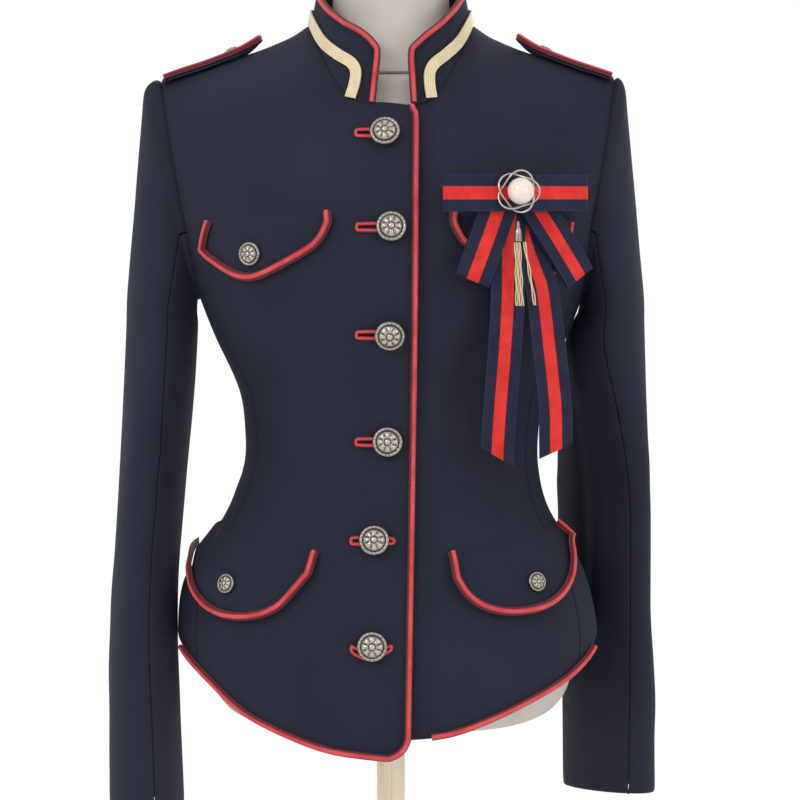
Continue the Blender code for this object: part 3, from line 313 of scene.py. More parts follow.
# Front buttons: where each one sits, where its buttonhole starts and ends, and how far
# the buttonhole sags below it
FRONT_BUTTONS = table(
    "x z hole_start hole_end sag",
    (-0.0042, 0.7808, -0.0290, 0.0020, 0.0000),
    (0.0006, 0.7058, -0.0285, 0.0060, 0.0000),
    (-0.0006, 0.6220, -0.0285, 0.0050, 0.0000),
    (-0.0024, 0.5365, -0.0290, 0.0030, 0.0000),
    (-0.0128, 0.4580, -0.0330, 0.0030, 0.0000),
    (-0.0143, 0.3755, -0.0325, 0.0010, 0.0075),
)
BUTTONHOLE_HALF_HEIGHT = 0.0027
BUTTONHOLE_RADIUS = 0.0013


# ---------------------------------------------------------------- tables and curves


def along(values_at, values, at):
    """The value at a place on a smooth curve through a table's rows."""
    last = len(values_at) - 1
    if values_at[0] > values_at[last]:
        values_at, values = values_at[::-1], values[::-1]
    if at <= values_at[0]:
        return values[0]
    if at >= values_at[last]:
        return values[last]
    i = next(k for k in range(last) if at <= values_at[k + 1])

    def slope(k):
        before, after = max(k - 1, 0), min(k + 1, last)
        return (values[after] - values[before]) / (values_at[after] - values_at[before])

    step = values_at[i + 1] - values_at[i]
    t = (at - values_at[i]) / step
    start, end = slope(i) * step, slope(i + 1) * step
    return (
        (2 * t**3 - 3 * t**2 + 1) * values[i]
        + (t**3 - 2 * t**2 + t) * start
        + (3 * t**2 - 2 * t**3) * values[i + 1]
        + (t**3 - t**2) * end
    )


def at_row(values, at):
    """The value at a place on a smooth curve through a column's evenly spaced rows."""
    return along(range(len(values)), values, at)


def mix(start, end, share):
    return start + (end - start) * share


def eased(share):
    """A share from 0 to 1 that starts and ends slowly."""
    return share * share * (3 - 2 * share)


def route_point(route, share):
    """A point on a smooth curve through a route's points, by share of their count."""
    at = share * (len(route) - 1)
    return Vector([at_row([point[axis] for point in route], at) for axis in range(3)])


# ---------------------------------------------------------------- the body's surface


def half_width(z, x):
    return along(TORSO["z"], TORSO["left" if x > 0 else "right"], z)


def shoulder_round(x, z):
    """How much of the body's depth is left this near below the shoulder line, squared."""
    drop = along(SHOULDER["x"], SHOULDER["z"], abs(x)) - z
    short = 1 - min(max(drop / SHOULDER_ROUND, 0), 1)
    return 1 - short**2


def side_round(x, z):
    """How much of the body's depth is left this near its side."""
    share = min(abs(x) / half_width(z, x), 1)
    return (1 - share**SECTION_POWER) ** (1 / SECTION_POWER)


def body_point(x, z, on_back):
    depth = along(TORSO["z"], TORSO["back" if on_back else "front"], z)
    y = depth * side_round(x, z) * math.sqrt(shoulder_round(x, z))
    return Vector((x, y if on_back else -y, z))


def body_field(point):
    """Zero on the body's surface and rising outwards."""
    x, y, z = point
    depth = along(TORSO["z"], TORSO["back" if y > 0 else "front"], z)
    return (y / depth) ** 2 - side_round(x, z) ** 2 * shoulder_round(x, z)


NORMAL_STEP = 0.0004  # over which the field's slope is taken
NORMAL_INSET = 0.9985  # keeps the slope off the body's widest point, where it has a corner


def body_normal(point):
    inner = Vector((point[0] * NORMAL_INSET, point[1], point[2]))
    slopes = []
    for axis in range(3):
        offset = Vector((0, 0, 0))
        offset[axis] = NORMAL_STEP
        slopes.append(body_field(inner + offset) - body_field(inner - offset))
    return Vector(slopes).normalized()


def turned_x(turn, z):
    """The x of a turn round the body at a height."""
    share = math.sin(math.radians(turn))
    reach = half_width(z, share)
    return math.copysign(reach * abs(share) ** (2 / SECTION_POWER), share)


def turn_of(x, z, on_back):
    share = min(abs(x) / half_width(z, x), 1) ** (SECTION_POWER / 2)
    turn = math.degrees(math.asin(share))
    return math.copysign(180 - turn if on_back else turn, x)


# Soft folds in the body's cloth: how wide each spreads, how far it stands out, and its route
# as (x, height). A trough is negative.
FRONT_FOLDS = (
    (0.0170, -0.0044, ((0.080, 0.655), (0.064, 0.600), (0.046, 0.550), (0.034, 0.500))),
    (0.0140, 0.0014, ((0.098, 0.600), (0.078, 0.560), (0.066, 0.520))),
    (0.0100, -0.0042, ((-0.1330, 0.500), (-0.1405, 0.470), (-0.1450, 0.440))),
    (0.0130, 0.0016, ((-0.118, 0.480), (-0.128, 0.440), (-0.132, 0.400))),
    (0.0110, -0.0016, ((-0.150, 0.690), (-0.132, 0.655), (-0.118, 0.610))),
    (0.0150, -0.0013, ((-0.105, 0.585), (-0.070, 0.560), (-0.038, 0.553))),
    (0.0120, 0.0010, ((-0.100, 0.545), (-0.066, 0.527), (-0.040, 0.522))),
    (0.0120, -0.0012, ((0.100, 0.545), (0.072, 0.530), (0.044, 0.527))),
    (0.0130, -0.0015, ((-0.062, 0.790), (-0.082, 0.765), (-0.112, 0.750))),
    (0.0120, 0.0013, ((0.150, 0.780), (0.130, 0.800), (0.105, 0.812))),
)
BACK_FOLDS = (
    (0.0160, -0.0028, ((0.138, 0.700), (0.098, 0.660), (0.062, 0.630), (0.036, 0.615))),
    (0.0150, -0.0022, ((-0.146, 0.690), (-0.104, 0.668), (-0.058, 0.640))),
    (0.0100, -0.0026, ((0.096, 0.572), (0.052, 0.556), (0.012, 0.560))),
    (0.0090, -0.0022, ((-0.100, 0.560), (-0.056, 0.548), (-0.016, 0.553))),
    (0.0110, 0.0016, ((0.088, 0.545), (0.048, 0.533), (0.014, 0.534))),
    (0.0120, 0.0014, ((-0.088, 0.580), (-0.046, 0.570), (-0.010, 0.574))),
    (0.0120, -0.0024, ((0.124, 0.500), (0.136, 0.455), (0.142, 0.410))),
    (0.0130, -0.0026, ((-0.120, 0.495), (-0.134, 0.450), (-0.146, 0.400))),
    (0.0160, 0.0020, ((0.070, 0.480), (0.078, 0.430), (0.082, 0.375))),
    (0.0170, -0.0018, ((-0.050, 0.475), (-0.060, 0.430), (-0.062, 0.380))),
)
CLOTH_UNEVENNESS = 0.00045  # how far the cloth waves without a fold
UNEVENNESS_SCALE = 17.0
FOLD_STEPS = 8
FOLD_TAPER = 0.32  # share of a fold's length over which each end fades
FOLD_REACH = 2.6  # widths past which a fold no longer counts


def fold_line(width, stand, points):
    line = [route_point(points, i / FOLD_STEPS) for i in range(FOLD_STEPS + 1)]
    middle = line[FOLD_STEPS // 2]
    reach = max((point - middle).length for point in line) + FOLD_REACH * width
    return line, width, stand, middle, reach


def body_folds():
    for folds, on_back in ((FRONT_FOLDS, False), (BACK_FOLDS, True)):
        for width, stand, route in folds:
            yield fold_line(width, stand, [body_point(x, z, on_back) for x, z in route])


def fold_lift(point, folds):
    """How far the folds near a point push the cloth out."""
    lift = CLOTH_UNEVENNESS * noise.noise(point * UNEVENNESS_SCALE)
    for line, width, stand, middle, reach in folds:
        if (point - middle).length > reach:
            continue
        nearest, share = 1.0, 0.0
        for i in range(FOLD_STEPS):
            start, way = line[i], line[i + 1] - line[i]
            t = min(max((point - start).dot(way) / way.dot(way), 0), 1)
            away = (point - start - way * t).length
            if away < nearest:
                nearest, share = away, (i + t) / FOLD_STEPS
        end = min(share, 1 - share) / FOLD_TAPER
        fade = eased(end) if end < 1 else 1
        lift += stand * fade * math.exp(-((nearest / width) ** 2))
    return lift


BODY_FOLDS = list(body_folds())


def lifted(point, lift):
    return point + body_normal(point) * (lift + fold_lift(point, BODY_FOLDS))


def on_body(turn, z, lift):
    """A point lifted off the body's surface and its folds, by turn and height."""
    return lifted(body_point(turned_x(turn, z), z, abs(turn) > 90), lift)


def on_front(x, z, lift):
    return lifted(body_point(x, z, False), lift)


# ---------------------------------------------------------------- making pieces

FINISH_WORDS = {
    "navy_wool": "wool",
    "red_piping": "cord",
    "gold_braid": "weave",
    "ribbon": "silk",
    "silver": "metal",
    "pearl": "beads",
    "form_cloth": "linen",
    "stand_metal": "enamel",
}
MATERIALS = {}
SHARED_OUT = ("ribbon", "gold_braid")  # finishes whose UV map runs from 0 to 1 across
LENGTH_STEPS = 12  # in which a piece of cloth is measured


def put_in_scene(name, data):
    made = bpy.data.objects.new(name, data)
    bpy.context.scene.collection.objects.link(made)
    return made


def finish_mesh(node, shape, finish, sharp_from=50, levels=0):
    """Turns a bmesh into the piece that stands for a solid."""
    bmesh.ops.remove_doubles(shape, verts=shape.verts[:], dist=MERGE_WITHIN)
    bmesh.ops.recalc_face_normals(shape, faces=shape.faces[:])
    if shape.calc_volume(signed=True) < 0:
        bmesh.ops.reverse_faces(shape, faces=shape.faces[:])
    name = f"{node}_{FINISH_WORDS[finish]}"
    mesh = bpy.data.meshes.new(name)
    shape.to_mesh(mesh)
    shape.free()
    mesh.shade_smooth()
    mesh.set_sharp_from_angle(angle=math.radians(sharp_from))
    mesh.materials.append(MATERIALS[finish])
    piece = put_in_scene(name, mesh)
    if levels:
        smooth = piece.modifiers.new("smooth", "SUBSURF")
        smooth.levels = smooth.render_levels = levels
    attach(piece, "root")
    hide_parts(node)
    return piece


def add_grid(shape, across, rows, place, size=(1, 1)):
    """A grid laid out by place(u, v), with its UV map in metres or shares."""
    uv = shape.loops.layers.uv.verify()
    made = bmesh.ops.create_grid(shape, x_segments=across, y_segments=rows, size=0.5)["verts"]
    at = {vert: (vert.co.x + 0.5, vert.co.y + 0.5) for vert in made}
    for face in {face for vert in made for face in vert.link_faces}:
        for loop in face.loops:
            u, v = at[loop.vert]
            loop[uv].uv = (u * size[0], v * size[1])
    for vert, (u, v) in at.items():
        vert.co = place(u, v)
    return at


def longest(place, swap):
    """The longest row of a piece of cloth laid out by place, or its longest column."""
    best = 0.0
    shares = [i / LENGTH_STEPS for i in range(LENGTH_STEPS + 1)]
    for row in shares:
        line = [place(*((row, share) if swap else (share, row)), 0) for share in shares]
        best = max(best, sum((b - a).length for a, b in zip(line, line[1:])))
    return best


def add_sheet(
    node, finish, across, rows, place, thickness=CLOTH, held="hung", finer=(4, 4), levels=1
):
    """A closed shell of cloth. place(u, v, depth) gives a point that far below its outer face."""
    width, length = longest(place, False), longest(place, True)
    shape = bmesh.new()
    uv = shape.loops.layers.uv.new("cut")
    corner = shape.verts.layers.float.new("crease_vert")
    bmesh.ops.create_grid(
        shape, x_segments=across * finer[0], y_segments=rows * finer[1], size=0.5
    )
    outer = set(shape.verts)
    bmesh.ops.extrude_face_region(shape, geom=shape.faces[:], use_keep_orig=True)
    for face in shape.faces:
        for loop in face.loops:
            u, v = loop.vert.co.x + 0.5, loop.vert.co.y + 0.5
            loop[uv].uv = (u if finish in SHARED_OUT else u * width, v * length)
    for vert in shape.verts:
        depth = 0 if vert in outer else thickness
        vert[corner] = float(abs(vert.co.x) > 0.499 and abs(vert.co.y) > 0.499)
        vert.co = place(vert.co.x + 0.5, vert.co.y + 0.5, depth)
    area = sum(face.calc_area() for face in shape.faces if all(v in outer for v in face.verts))
    piece = finish_mesh(node, shape, finish, levels=levels)
    return piece


def circle_section(count):
    angles = [2 * math.pi * i / count for i in range(count + 1)]
    return [(math.cos(angle), math.sin(angle)) for angle in angles]


def piping_section(lip):
    """A cord in its folded cover, with the cover's sewn edges out to the lip, in radii."""
    foot = [(lip, -0.98), (lip, -0.80), (1.12, -0.70)]
    arc = [math.radians(-32 + 244 * i / 14) for i in range(15)]
    cord = [(math.cos(angle), math.sin(angle)) for angle in arc]
    return foot + cord + [(-side, up) for side, up in foot[::-1]] + [foot[0]]


def outwards(point):
    """The way out of the jacket, which is wider than it is deep."""
    return Vector((point.x, point.y * 1.6, 0)).normalized()


def close_ends(shape):
    ends = [edge for edge in shape.edges if edge.is_boundary]
    bmesh.ops.holes_fill(shape, edges=ends, sides=0)


def add_tube(shape, points, radius, section, out=outwards, closed=False, finer=4, bead=0.0):
    """A cord through the points. out(point) is the way off the cloth below it."""
    if closed:
        points = points + points[:1]
    rows = finer * (len(points) - 1)
    length = sum((Vector(b) - Vector(a)).length for a, b in zip(points, points[1:]))
    last = len(section) - 1

    def frame_at(share):
        def at(place):
            return route_point(points, place % 1 if closed and not 0 <= place <= 1 else place)

        middle = route_point(points, share)
        before, after = share - NEAR, share + NEAR
        if not closed:
            before, after = max(before, 0), min(after, 1)
        along_it = (at(after) - at(before)).normalized()
        side = along_it.cross(out(middle)).normalized()
        return middle, side, side.cross(along_it)

    frames = {}

    def place(u, v):
        key = round(v * rows)
        if key not in frames:
            frames[key] = frame_at(v)
        middle, side, up = frames[key]
        across, rise = section[round(u * last)]
        swell = radius * (1 - bead * abs(math.cos(math.pi * v * length / (2 * radius))))
        return middle + (side * across + up * rise) * swell

    made = add_grid(shape, last, rows, place, (1, length))
    bmesh.ops.remove_doubles(shape, verts=list(made), dist=MERGE_WITHIN)
    if not closed:
        close_ends(shape)


def add_cord(node, finish, points, radius, section, **shape_words):
    shape = bmesh.new()
    shape.loops.layers.uv.new("cut")
    add_tube(shape, points, radius, section, **shape_words)
    return finish_mesh(node, shape, finish, sharp_from=40)


LEVEL_HOLLOW, RELIEF_RANGE = 0.45, 0.10  # "hollow" where a relief is level, and its span
PLAIN_HOLLOW = 0.2  # "hollow" on a piece without relief


def add_turned(node, finish, profile, steps, at=(0, 0, 0), facing=(0, 0, 1), relief=None):
    """A turned piece. The profile runs from the top on its axis, outwards and down to the axis.

    relief(out, angle) raises its face, and a low place gets a high value of "hollow"."""
    rows = len(profile) - 1
    shape = bmesh.new()
    hollow = shape.verts.layers.float.new("hollow")
    reach = max(out for out, _ in profile)
    face_rows = max((i for i, (_, up) in enumerate(profile) if up > 0), default=0) - 1

    def raised(u, v):
        row = round(v * rows)
        out = profile[row][0]
        return relief(out / reach, 2 * math.pi * u) if relief and row < face_rows else 0.0

    def place(u, v):
        out, up = profile[round(v * rows)]
        angle = 2 * math.pi * u
        return Vector((out * math.cos(angle), out * math.sin(angle), up + raised(u, v) * reach))

    for vert, (u, v) in add_grid(shape, steps, rows, place).items():
        low = min(max(LEVEL_HOLLOW - raised(u, v) / RELIEF_RANGE, 0), 1)
        vert[hollow] = low if relief else PLAIN_HOLLOW
    turn = Vector(facing).to_track_quat("Z", "Y")
    matrix = Matrix.Translation(at) @ turn.to_matrix().to_4x4()
    bmesh.ops.transform(shape, matrix=matrix, verts=shape.verts[:])
    return finish_mesh(node, shape, finish, sharp_from=40)


# ---------------------------------------------------------------- shader groups


def new_group(name, inputs, outputs):
    """A node group with named number, colour or vector sockets and its two end nodes."""
    group = bpy.data.node_groups.new(name, "ShaderNodeTree")
    for socket, kind in inputs:
        group.interface.new_socket(socket, in_out="INPUT", socket_type=f"NodeSocket{kind}")
    for socket, kind in outputs:
        group.interface.new_socket(socket, in_out="OUTPUT", socket_type=f"NodeSocket{kind}")
    start = group.nodes.new("NodeGroupInput")
    end = group.nodes.new("NodeGroupOutput")
    return group, start.outputs, end.inputs


class Wires:
    """Adds nodes to a tree and wires them up."""

    def __init__(self, tree):
        self.tree = tree

    def put(self, socket, value):
        if isinstance(value, bpy.types.NodeSocket):
            self.tree.links.new(value, socket)
        else:
            socket.default_value = value

    def add(self, kind, inputs=(), **settings):
        node = self.tree.nodes.new(f"ShaderNode{kind}")
        for name, value in settings.items():
            setattr(node, name, value)
        for name, value in dict(inputs).items():
            self.put(node.inputs[name], value)
        return node

    def maths(self, operation, *values):
        node = self.add("Math", operation=operation)
        for socket, value in zip(node.inputs, values):
            self.put(socket, value)
        return node.outputs[0]

    def waves(self, value):
        """A sine that repeats each time the value rises by 1."""
        return self.maths("SINE", self.maths("MULTIPLY", value, 2 * math.pi))

    def apart(self, value, middle):
        """How far a value is from a middle, to either side."""
        return self.maths("ABSOLUTE", self.maths("SUBTRACT", value, middle))

    def split(self, vector):
        return self.add("SeparateXYZ", {"Vector": vector}).outputs

    def blend(self, share, first, second):
        node = self.add("Mix", data_type="RGBA")
        for name, value in (("Factor_Float", share), ("A_Color", first), ("B_Color", second)):
            socket = next(s for s in node.inputs if s.identifier == name)
            self.put(socket, value)
        return next(s for s in node.outputs if s.identifier == "Result_Color")

    def spots(self, where, scale, detail, roughness=0.5):
        inputs = {"Vector": where, "Scale": scale, "Detail": detail, "Roughness": roughness}
        return self.add("TexNoise", inputs).outputs["Fac"]

    def spread(self, value, low, high, to_low=0.0, to_high=1.0):
        inputs = {"Value": value, "From Min": low, "From Max": high}
        inputs.update({"To Min": to_low, "To Max": to_high})
        return self.add("MapRange", inputs).outputs["Result"]


def weave_group():
    """Crossing threads with a twill's slant. Height is the relief, Shade the gaps between."""
    group, given, out = new_group(
        "woven_threads",
        (("Vector", "Vector"), ("Across", "Float"), ("Down", "Float"), ("Slant", "Float")),
        (("Height", "Float"), ("Shade", "Float")),
    )
    w = Wires(group)
    split = w.split(given["Vector"])
    across = w.maths("DIVIDE", split["X"], given["Across"])
    down = w.maths("DIVIDE", split["Y"], given["Down"])
    first = w.waves(w.maths("ADD", across, w.maths("MULTIPLY", down, given["Slant"])))
    second = w.waves(down)
    height = w.maths("ADD", first, w.maths("MULTIPLY", second, 0.6))
    height = w.spread(height, -1.6, 1.6)
    w.put(out["Height"], height)
    w.put(out["Shade"], w.maths("POWER", height, 1.6))
    return group


def fuzz_group():
    """Short fibres and the slow cloudiness of dyed cloth."""
    group, given, out = new_group(
        "fibre_fuzz",
        (("Vector", "Vector"), ("Fine", "Float"), ("Broad", "Float")),
        (("Fibre", "Float"), ("Cloud", "Float")),
    )
    w = Wires(group)
    w.put(out["Fibre"], w.spots(given["Vector"], given["Fine"], 4.0))
    w.put(out["Cloud"], w.spots(given["Vector"], given["Broad"], 3.0))
    return group


def tarnish_group():
    """Metal that is dark in its hollows and rubbed bright on its high places."""
    group, given, out = new_group(
        "worn_metal",
        (("Vector", "Vector"), ("Hollow", "Float"), ("Bright", "Color"), ("Dark", "Color")),
        (("Colour", "Color"), ("Rough", "Float"), ("Pitting", "Float")),
    )
    w = Wires(group)
    blotch = w.spots(given["Vector"], 420.0, 4.0, 0.55)
    grime = w.maths("ADD", given["Hollow"], w.maths("MULTIPLY", blotch, 0.45))
    grime = w.spread(grime, 0.35, 1.05)
    w.put(out["Colour"], w.blend(grime, given["Bright"], given["Dark"]))
    w.put(out["Rough"], w.spread(grime, 0.0, 1.0, 0.22, 0.60))
    w.put(out["Pitting"], w.spots(given["Vector"], 2600.0, 2.0, 0.55))
    return group


GROUPS = {"weave": weave_group(), "fuzz": fuzz_group(), "tarnish": tarnish_group()}


# ---------------------------------------------------------------- materials


class Finish(Wires):
    """A material, with its Principled shader and its coordinates."""

    def __init__(self, name, roughness, **fixed):
        self.material = bpy.data.materials.new(name)
        self.material.use_nodes = True
        super().__init__(self.material.node_tree)
        self.shader = self.tree.nodes["Principled BSDF"]
        self.rough(roughness)
        for socket, value in fixed.items():
            self.set(socket.replace("_", " "), value)
        self.here = self.add("TexCoord").outputs["Object"]
        MATERIALS[name] = self.material

    def cut(self):
        """The piece's own UV map, which follows the cloth."""
        return self.add("UVMap", uv_map="cut").outputs["UV"]

    def group(self, name, **inputs):
        node = self.add("Group", node_tree=GROUPS[name])
        for socket, value in inputs.items():
            self.put(node.inputs[socket], value)
        return node.outputs

    def set(self, socket, value):
        self.put(self.shader.inputs[socket], value)

    def colour(self, value):
        self.set("Base Color", value)

    def rough(self, value):
        self.set("Roughness", value)

    def clouded(self, fuzz, dark, pale, low=0.3, high=0.7):
        """A colour that wanders between two over the cloth."""
        return self.blend(self.spread(fuzz["Cloud"], low, high), dark, pale)

    def fibrous(self, fuzz, base, fibre, low, high, share=0.35):
        """A colour with single fibres of another over it."""
        return self.blend(self.spread(fuzz["Fibre"], low, high, 0.0, share), base, fibre)

    def rough_fibres(self, fuzz, low, high):
        self.rough(self.spread(fuzz["Fibre"], 0.3, 0.7, low, high))

    def relief(self, height, distance, strength=1.0, after=None):
        inputs = {"Height": height, "Distance": distance, "Strength": strength}
        if after is not None:
            inputs["Normal"] = after
        normal = self.add("Bump", inputs).outputs["Normal"]
        self.set("Normal", normal)
        return normal


def rgb(red, green, blue):
    """A colour from its screen values, 0 to 255."""
    linear = [
        v / 12.92 if v <= 0.04045 else ((v + 0.055) / 1.055) ** 2.4
        for v in (red / 255, green / 255, blue / 255)
    ]
    return (*linear, 1)


CORD_TWIST = 0.0026  # one turn of the piping's threads
BRAID_RIBS = 6  # across the braid
BRAID_THREAD = 0.0016
RIBBON_RIB = 0.00125
STRIPE_EDGE = 0.186  # the red stripe's half width, as a share of the ribbon's
TASSEL_TOP = 0.694, 0.700  # heights between which the pearl's finish turns yellower


def make_wool():
    f = Finish("navy_wool", 0.88, Sheen_Weight=0.05, Sheen_Roughness=0.45)
    f.set("Sheen Tint", rgb(150, 160, 200))
    f.set("Specular IOR Level", 0.22)
    weave = f.group("weave", Vector=f.cut(), Across=0.00115, Down=0.00105, Slant=1.0)
    fuzz = f.group("fuzz", Vector=f.here, Fine=1300.0, Broad=9.0)
    base = f.clouded(fuzz, rgb(31, 34, 48), rgb(39, 42, 56))
    base = f.blend(f.spread(weave["Shade"], 0, 1, 0.42, 0.0), base, rgb(19, 21, 32))
    f.colour(f.fibrous(fuzz, base, rgb(70, 75, 96), 0.62, 0.80))
    f.rough_fibres(fuzz, 0.78, 0.95)
    first = f.relief(weave["Height"], 0.00022, 0.55)
    f.relief(fuzz["Fibre"], 0.00030, 0.45, first)


def make_piping():
    f = Finish("red_piping", 0.6, Sheen_Weight=0.15, Sheen_Roughness=0.5)
    f.set("Specular IOR Level", 0.35)
    split = f.split(f.cut())
    # 0 in the middle of the cord and 0.5 at its sewn edges, which are painted dark red as shade
    # where the cord rounds down onto the cloth
    sewn = f.spread(f.apart(split["X"], 0.5), 0.085, 0.20)
    fuzz = f.group("fuzz", Vector=f.here, Fine=1800.0, Broad=60.0)
    twist = f.waves(f.maths("ADD", f.maths("DIVIDE", split["Y"], CORD_TWIST), split["X"]))
    red = f.clouded(fuzz, rgb(190, 50, 60), rgb(212, 74, 80), 0.35, 0.65)
    # Painted shade in the grooves between the cord's twisted threads
    red = f.blend(f.spread(twist, -1, -0.3, 0.16, 0.0), red, rgb(140, 32, 42))
    red = f.fibrous(fuzz, red, rgb(222, 120, 124), 0.60, 0.75)
    # Painted shade along the sewn edges of the cover
    f.colour(f.blend(sewn, red, rgb(96, 14, 30)))
    f.rough_fibres(fuzz, 0.52, 0.78)
    first = f.relief(twist, 0.00008, 0.4)
    f.relief(fuzz["Fibre"], 0.00025, 0.5, first)


def make_braid():
    f = Finish("gold_braid", 0.45, Metallic=0.25, Sheen_Weight=0.1)
    split = f.split(f.cut())
    ribs = f.waves(f.maths("MULTIPLY", split["X"], BRAID_RIBS))
    threads = f.waves(f.maths("ADD", f.maths("DIVIDE", split["Y"], BRAID_THREAD), split["X"]))
    height = f.spread(f.maths("ADD", ribs, f.maths("MULTIPLY", threads, 0.45)), -1.45, 1.45)
    fuzz = f.group("fuzz", Vector=f.here, Fine=2200.0, Broad=120.0)
    gold = f.blend(fuzz["Cloud"], rgb(214, 196, 152), rgb(240, 228, 196))
    # Painted shade, darker gold in the low places between the ribs and threads
    f.colour(f.blend(f.spread(height, 0.0, 0.55, 0.62, 0.0), gold, rgb(150, 124, 78)))
    f.rough_fibres(fuzz, 0.38, 0.55)
    f.relief(height, 0.00035, 0.8)


def make_ribbon():
    f = Finish("ribbon", 0.6, Sheen_Weight=0.03, Sheen_Roughness=0.4)
    f.set("Specular IOR Level", 0.18)
    split = f.split(f.cut())
    aside = f.apart(split["X"], 0.5)
    fuzz = f.group("fuzz", Vector=f.here, Fine=2400.0, Broad=70.0)
    ribs = f.waves(f.maths("DIVIDE", split["Y"], RIBBON_RIB))
    navy = f.clouded(fuzz, rgb(24, 28, 47), rgb(31, 36, 58))
    # A painted highlight runs along each edge, and a paler thread on both sides of the stripe
    edge = f.spread(f.apart(aside, 0.485), 0.0, 0.016, 0.4, 0.0)
    navy = f.blend(edge, navy, rgb(52, 62, 100))
    red = f.clouded(fuzz, rgb(200, 38, 36), rgb(222, 56, 48))
    stripe = f.spread(aside, STRIPE_EDGE - 0.014, STRIPE_EDGE)
    lip = f.spread(f.apart(aside, STRIPE_EDGE), 0.0, 0.014, 0.55, 0.0)
    both = f.blend(lip, f.blend(stripe, red, navy), rgb(84, 26, 44))
    # Painted shade in the grooves between the ribs
    f.colour(f.blend(f.spread(ribs, -1.0, 0.2, 0.14, 0.0), both, rgb(18, 14, 26)))
    f.rough(f.spread(ribs, -1, 1, 0.75, 0.6))
    first = f.relief(ribs, 0.00010, 0.4)
    f.relief(fuzz["Fibre"], 0.00012, 0.4, first)


def make_silver():
    f = Finish("silver", 0.3, Metallic=1.0)
    hollow = f.add("Attribute", attribute_name="hollow").outputs["Fac"]
    worn = f.group(
        "tarnish", Vector=f.here, Hollow=hollow, Bright=rgb(184, 178, 170), Dark=rgb(74, 68, 64)
    )
    f.colour(worn["Colour"])
    f.rough(worn["Rough"])
    f.relief(worn["Pitting"], 0.00008, 0.5)


def make_pearl():
    f = Finish("pearl", 0.22, Coat_Weight=0.6, Coat_Roughness=0.08)
    f.set("Subsurface Weight", 0.10)
    f.set("Subsurface Radius", (0.002, 0.0015, 0.001))
    fuzz = f.group("fuzz", Vector=f.here, Fine=900.0, Broad=160.0)
    base = f.clouded(fuzz, rgb(218, 206, 192), rgb(232, 222, 212))
    base = f.fibrous(fuzz, base, rgb(208, 184, 172), 0.55, 0.75)
    # The tassel's strands, below its cap, are yellower than the pearl
    thread = f.spread(f.split(f.here)["Z"], *TASSEL_TOP, 1.0, 0.0)
    f.colour(f.blend(thread, base, rgb(200, 178, 142)))
    f.rough_fibres(fuzz, 0.16, 0.30)
    f.relief(fuzz["Fibre"], 0.00004, 0.4)


def make_linen():
    f = Finish("form_cloth", 0.9, Sheen_Weight=0.12, Sheen_Roughness=0.5)
    here = f.split(f.here)
    turned = f.add("CombineXYZ", {"X": here["X"], "Y": here["Z"]})
    weave = f.group("weave", Vector=turned.outputs[0], Across=0.0013, Down=0.0012, Slant=0.0)
    fuzz = f.group("fuzz", Vector=f.here, Fine=900.0, Broad=14.0)
    base = f.clouded(fuzz, rgb(196, 187, 180), rgb(212, 204, 197))
    base = f.blend(f.spread(weave["Shade"], 0, 1, 0.40, 0.0), base, rgb(150, 140, 134))
    f.colour(f.fibrous(fuzz, base, rgb(230, 225, 220), 0.6, 0.8, 0.4))
    f.rough_fibres(fuzz, 0.82, 0.96)
    first = f.relief(weave["Height"], 0.00025, 0.5)
    f.relief(fuzz["Fibre"], 0.00020, 0.35, first)


def make_enamel():
    f = Finish("stand_metal", 0.4, Coat_Weight=0.25, Coat_Roughness=0.2)
    fuzz = f.group("fuzz", Vector=f.here, Fine=1400.0, Broad=22.0)
    base = f.clouded(fuzz, rgb(222, 206, 176), rgb(232, 218, 192))
    # Handling has greyed the paint near the foot and on the base
    low = f.spread(f.split(f.here)["Z"], 0.0, 0.05, 1.0, 0.0)
    worn = f.maths("MULTIPLY", low, f.spread(fuzz["Cloud"], 0.45, 0.7))
    f.colour(f.blend(f.maths("MULTIPLY", worn, 0.5), base, rgb(178, 162, 134)))
    f.rough_fibres(fuzz, 0.30, 0.46)
    f.relief(fuzz["Fibre"], 0.00006, 0.35)


def make_floor():
    f = Finish("pale_floor", 0.9)
    fuzz = f.group("fuzz", Vector=f.here, Fine=90.0, Broad=3.0)
    f.colour(f.blend(fuzz["Cloud"], rgb(242, 242, 241), rgb(250, 250, 249)))
    f.rough_fibres(fuzz, 0.85, 0.95)
    f.relief(fuzz["Fibre"], 0.0002, 0.2)


for make in (
    make_wool,
    make_piping,
    make_braid,
    make_ribbon,
    make_silver,
    make_pearl,
    make_linen,
    make_enamel,
    make_floor,
):
    make()


# ---------------------------------------------------------------- body panels

PANEL_ROWS = 20
SIDE_SEAM_ROWS = 0.6  # share of a panel's rows that lie below the armhole
FRONT_JUNCTION = 0.676  # height where the side seams meet the armhole, front and back
BACK_JUNCTION = 0.690
SIDE_SEAM_TURN = {"front": 63.0, "back": 117.0}
LAP_COLUMNS, FRONT_COLUMNS, BACK_COLUMNS = 2, 11, 8
LAP_SHARE = LAP_COLUMNS / (LAP_COLUMNS + FRONT_COLUMNS)  # of a front's columns, where the fronts lap


def hem_height(turn):
    return along(HEM["turn"], HEM["left" if turn > 0 else "right"], abs(turn))


def armhole_x(z, side, on_back):
    low = ARMHOLE["z"][0]
    reach = mix(1, WEARER_SIDE_SHARE[side], min((z - low) / ARMHOLE_BLEND, 1))
    return side * reach * along(ARMHOLE["z"], ARMHOLE["back" if on_back else "front"], z)


def armhole_top(side):
    """The height of the shoulder's tip."""
    reach = ARMHOLE["front"][-1] * WEARER_SIDE_SHARE[side]
    return along(SHOULDER["x"], SHOULDER["z"], reach)


def armhole_height(share, start, side):
    """Heights up the armhole, closer together near the rounded shoulder."""
    return mix(start, armhole_top(side), math.sin(share * math.pi / 2))


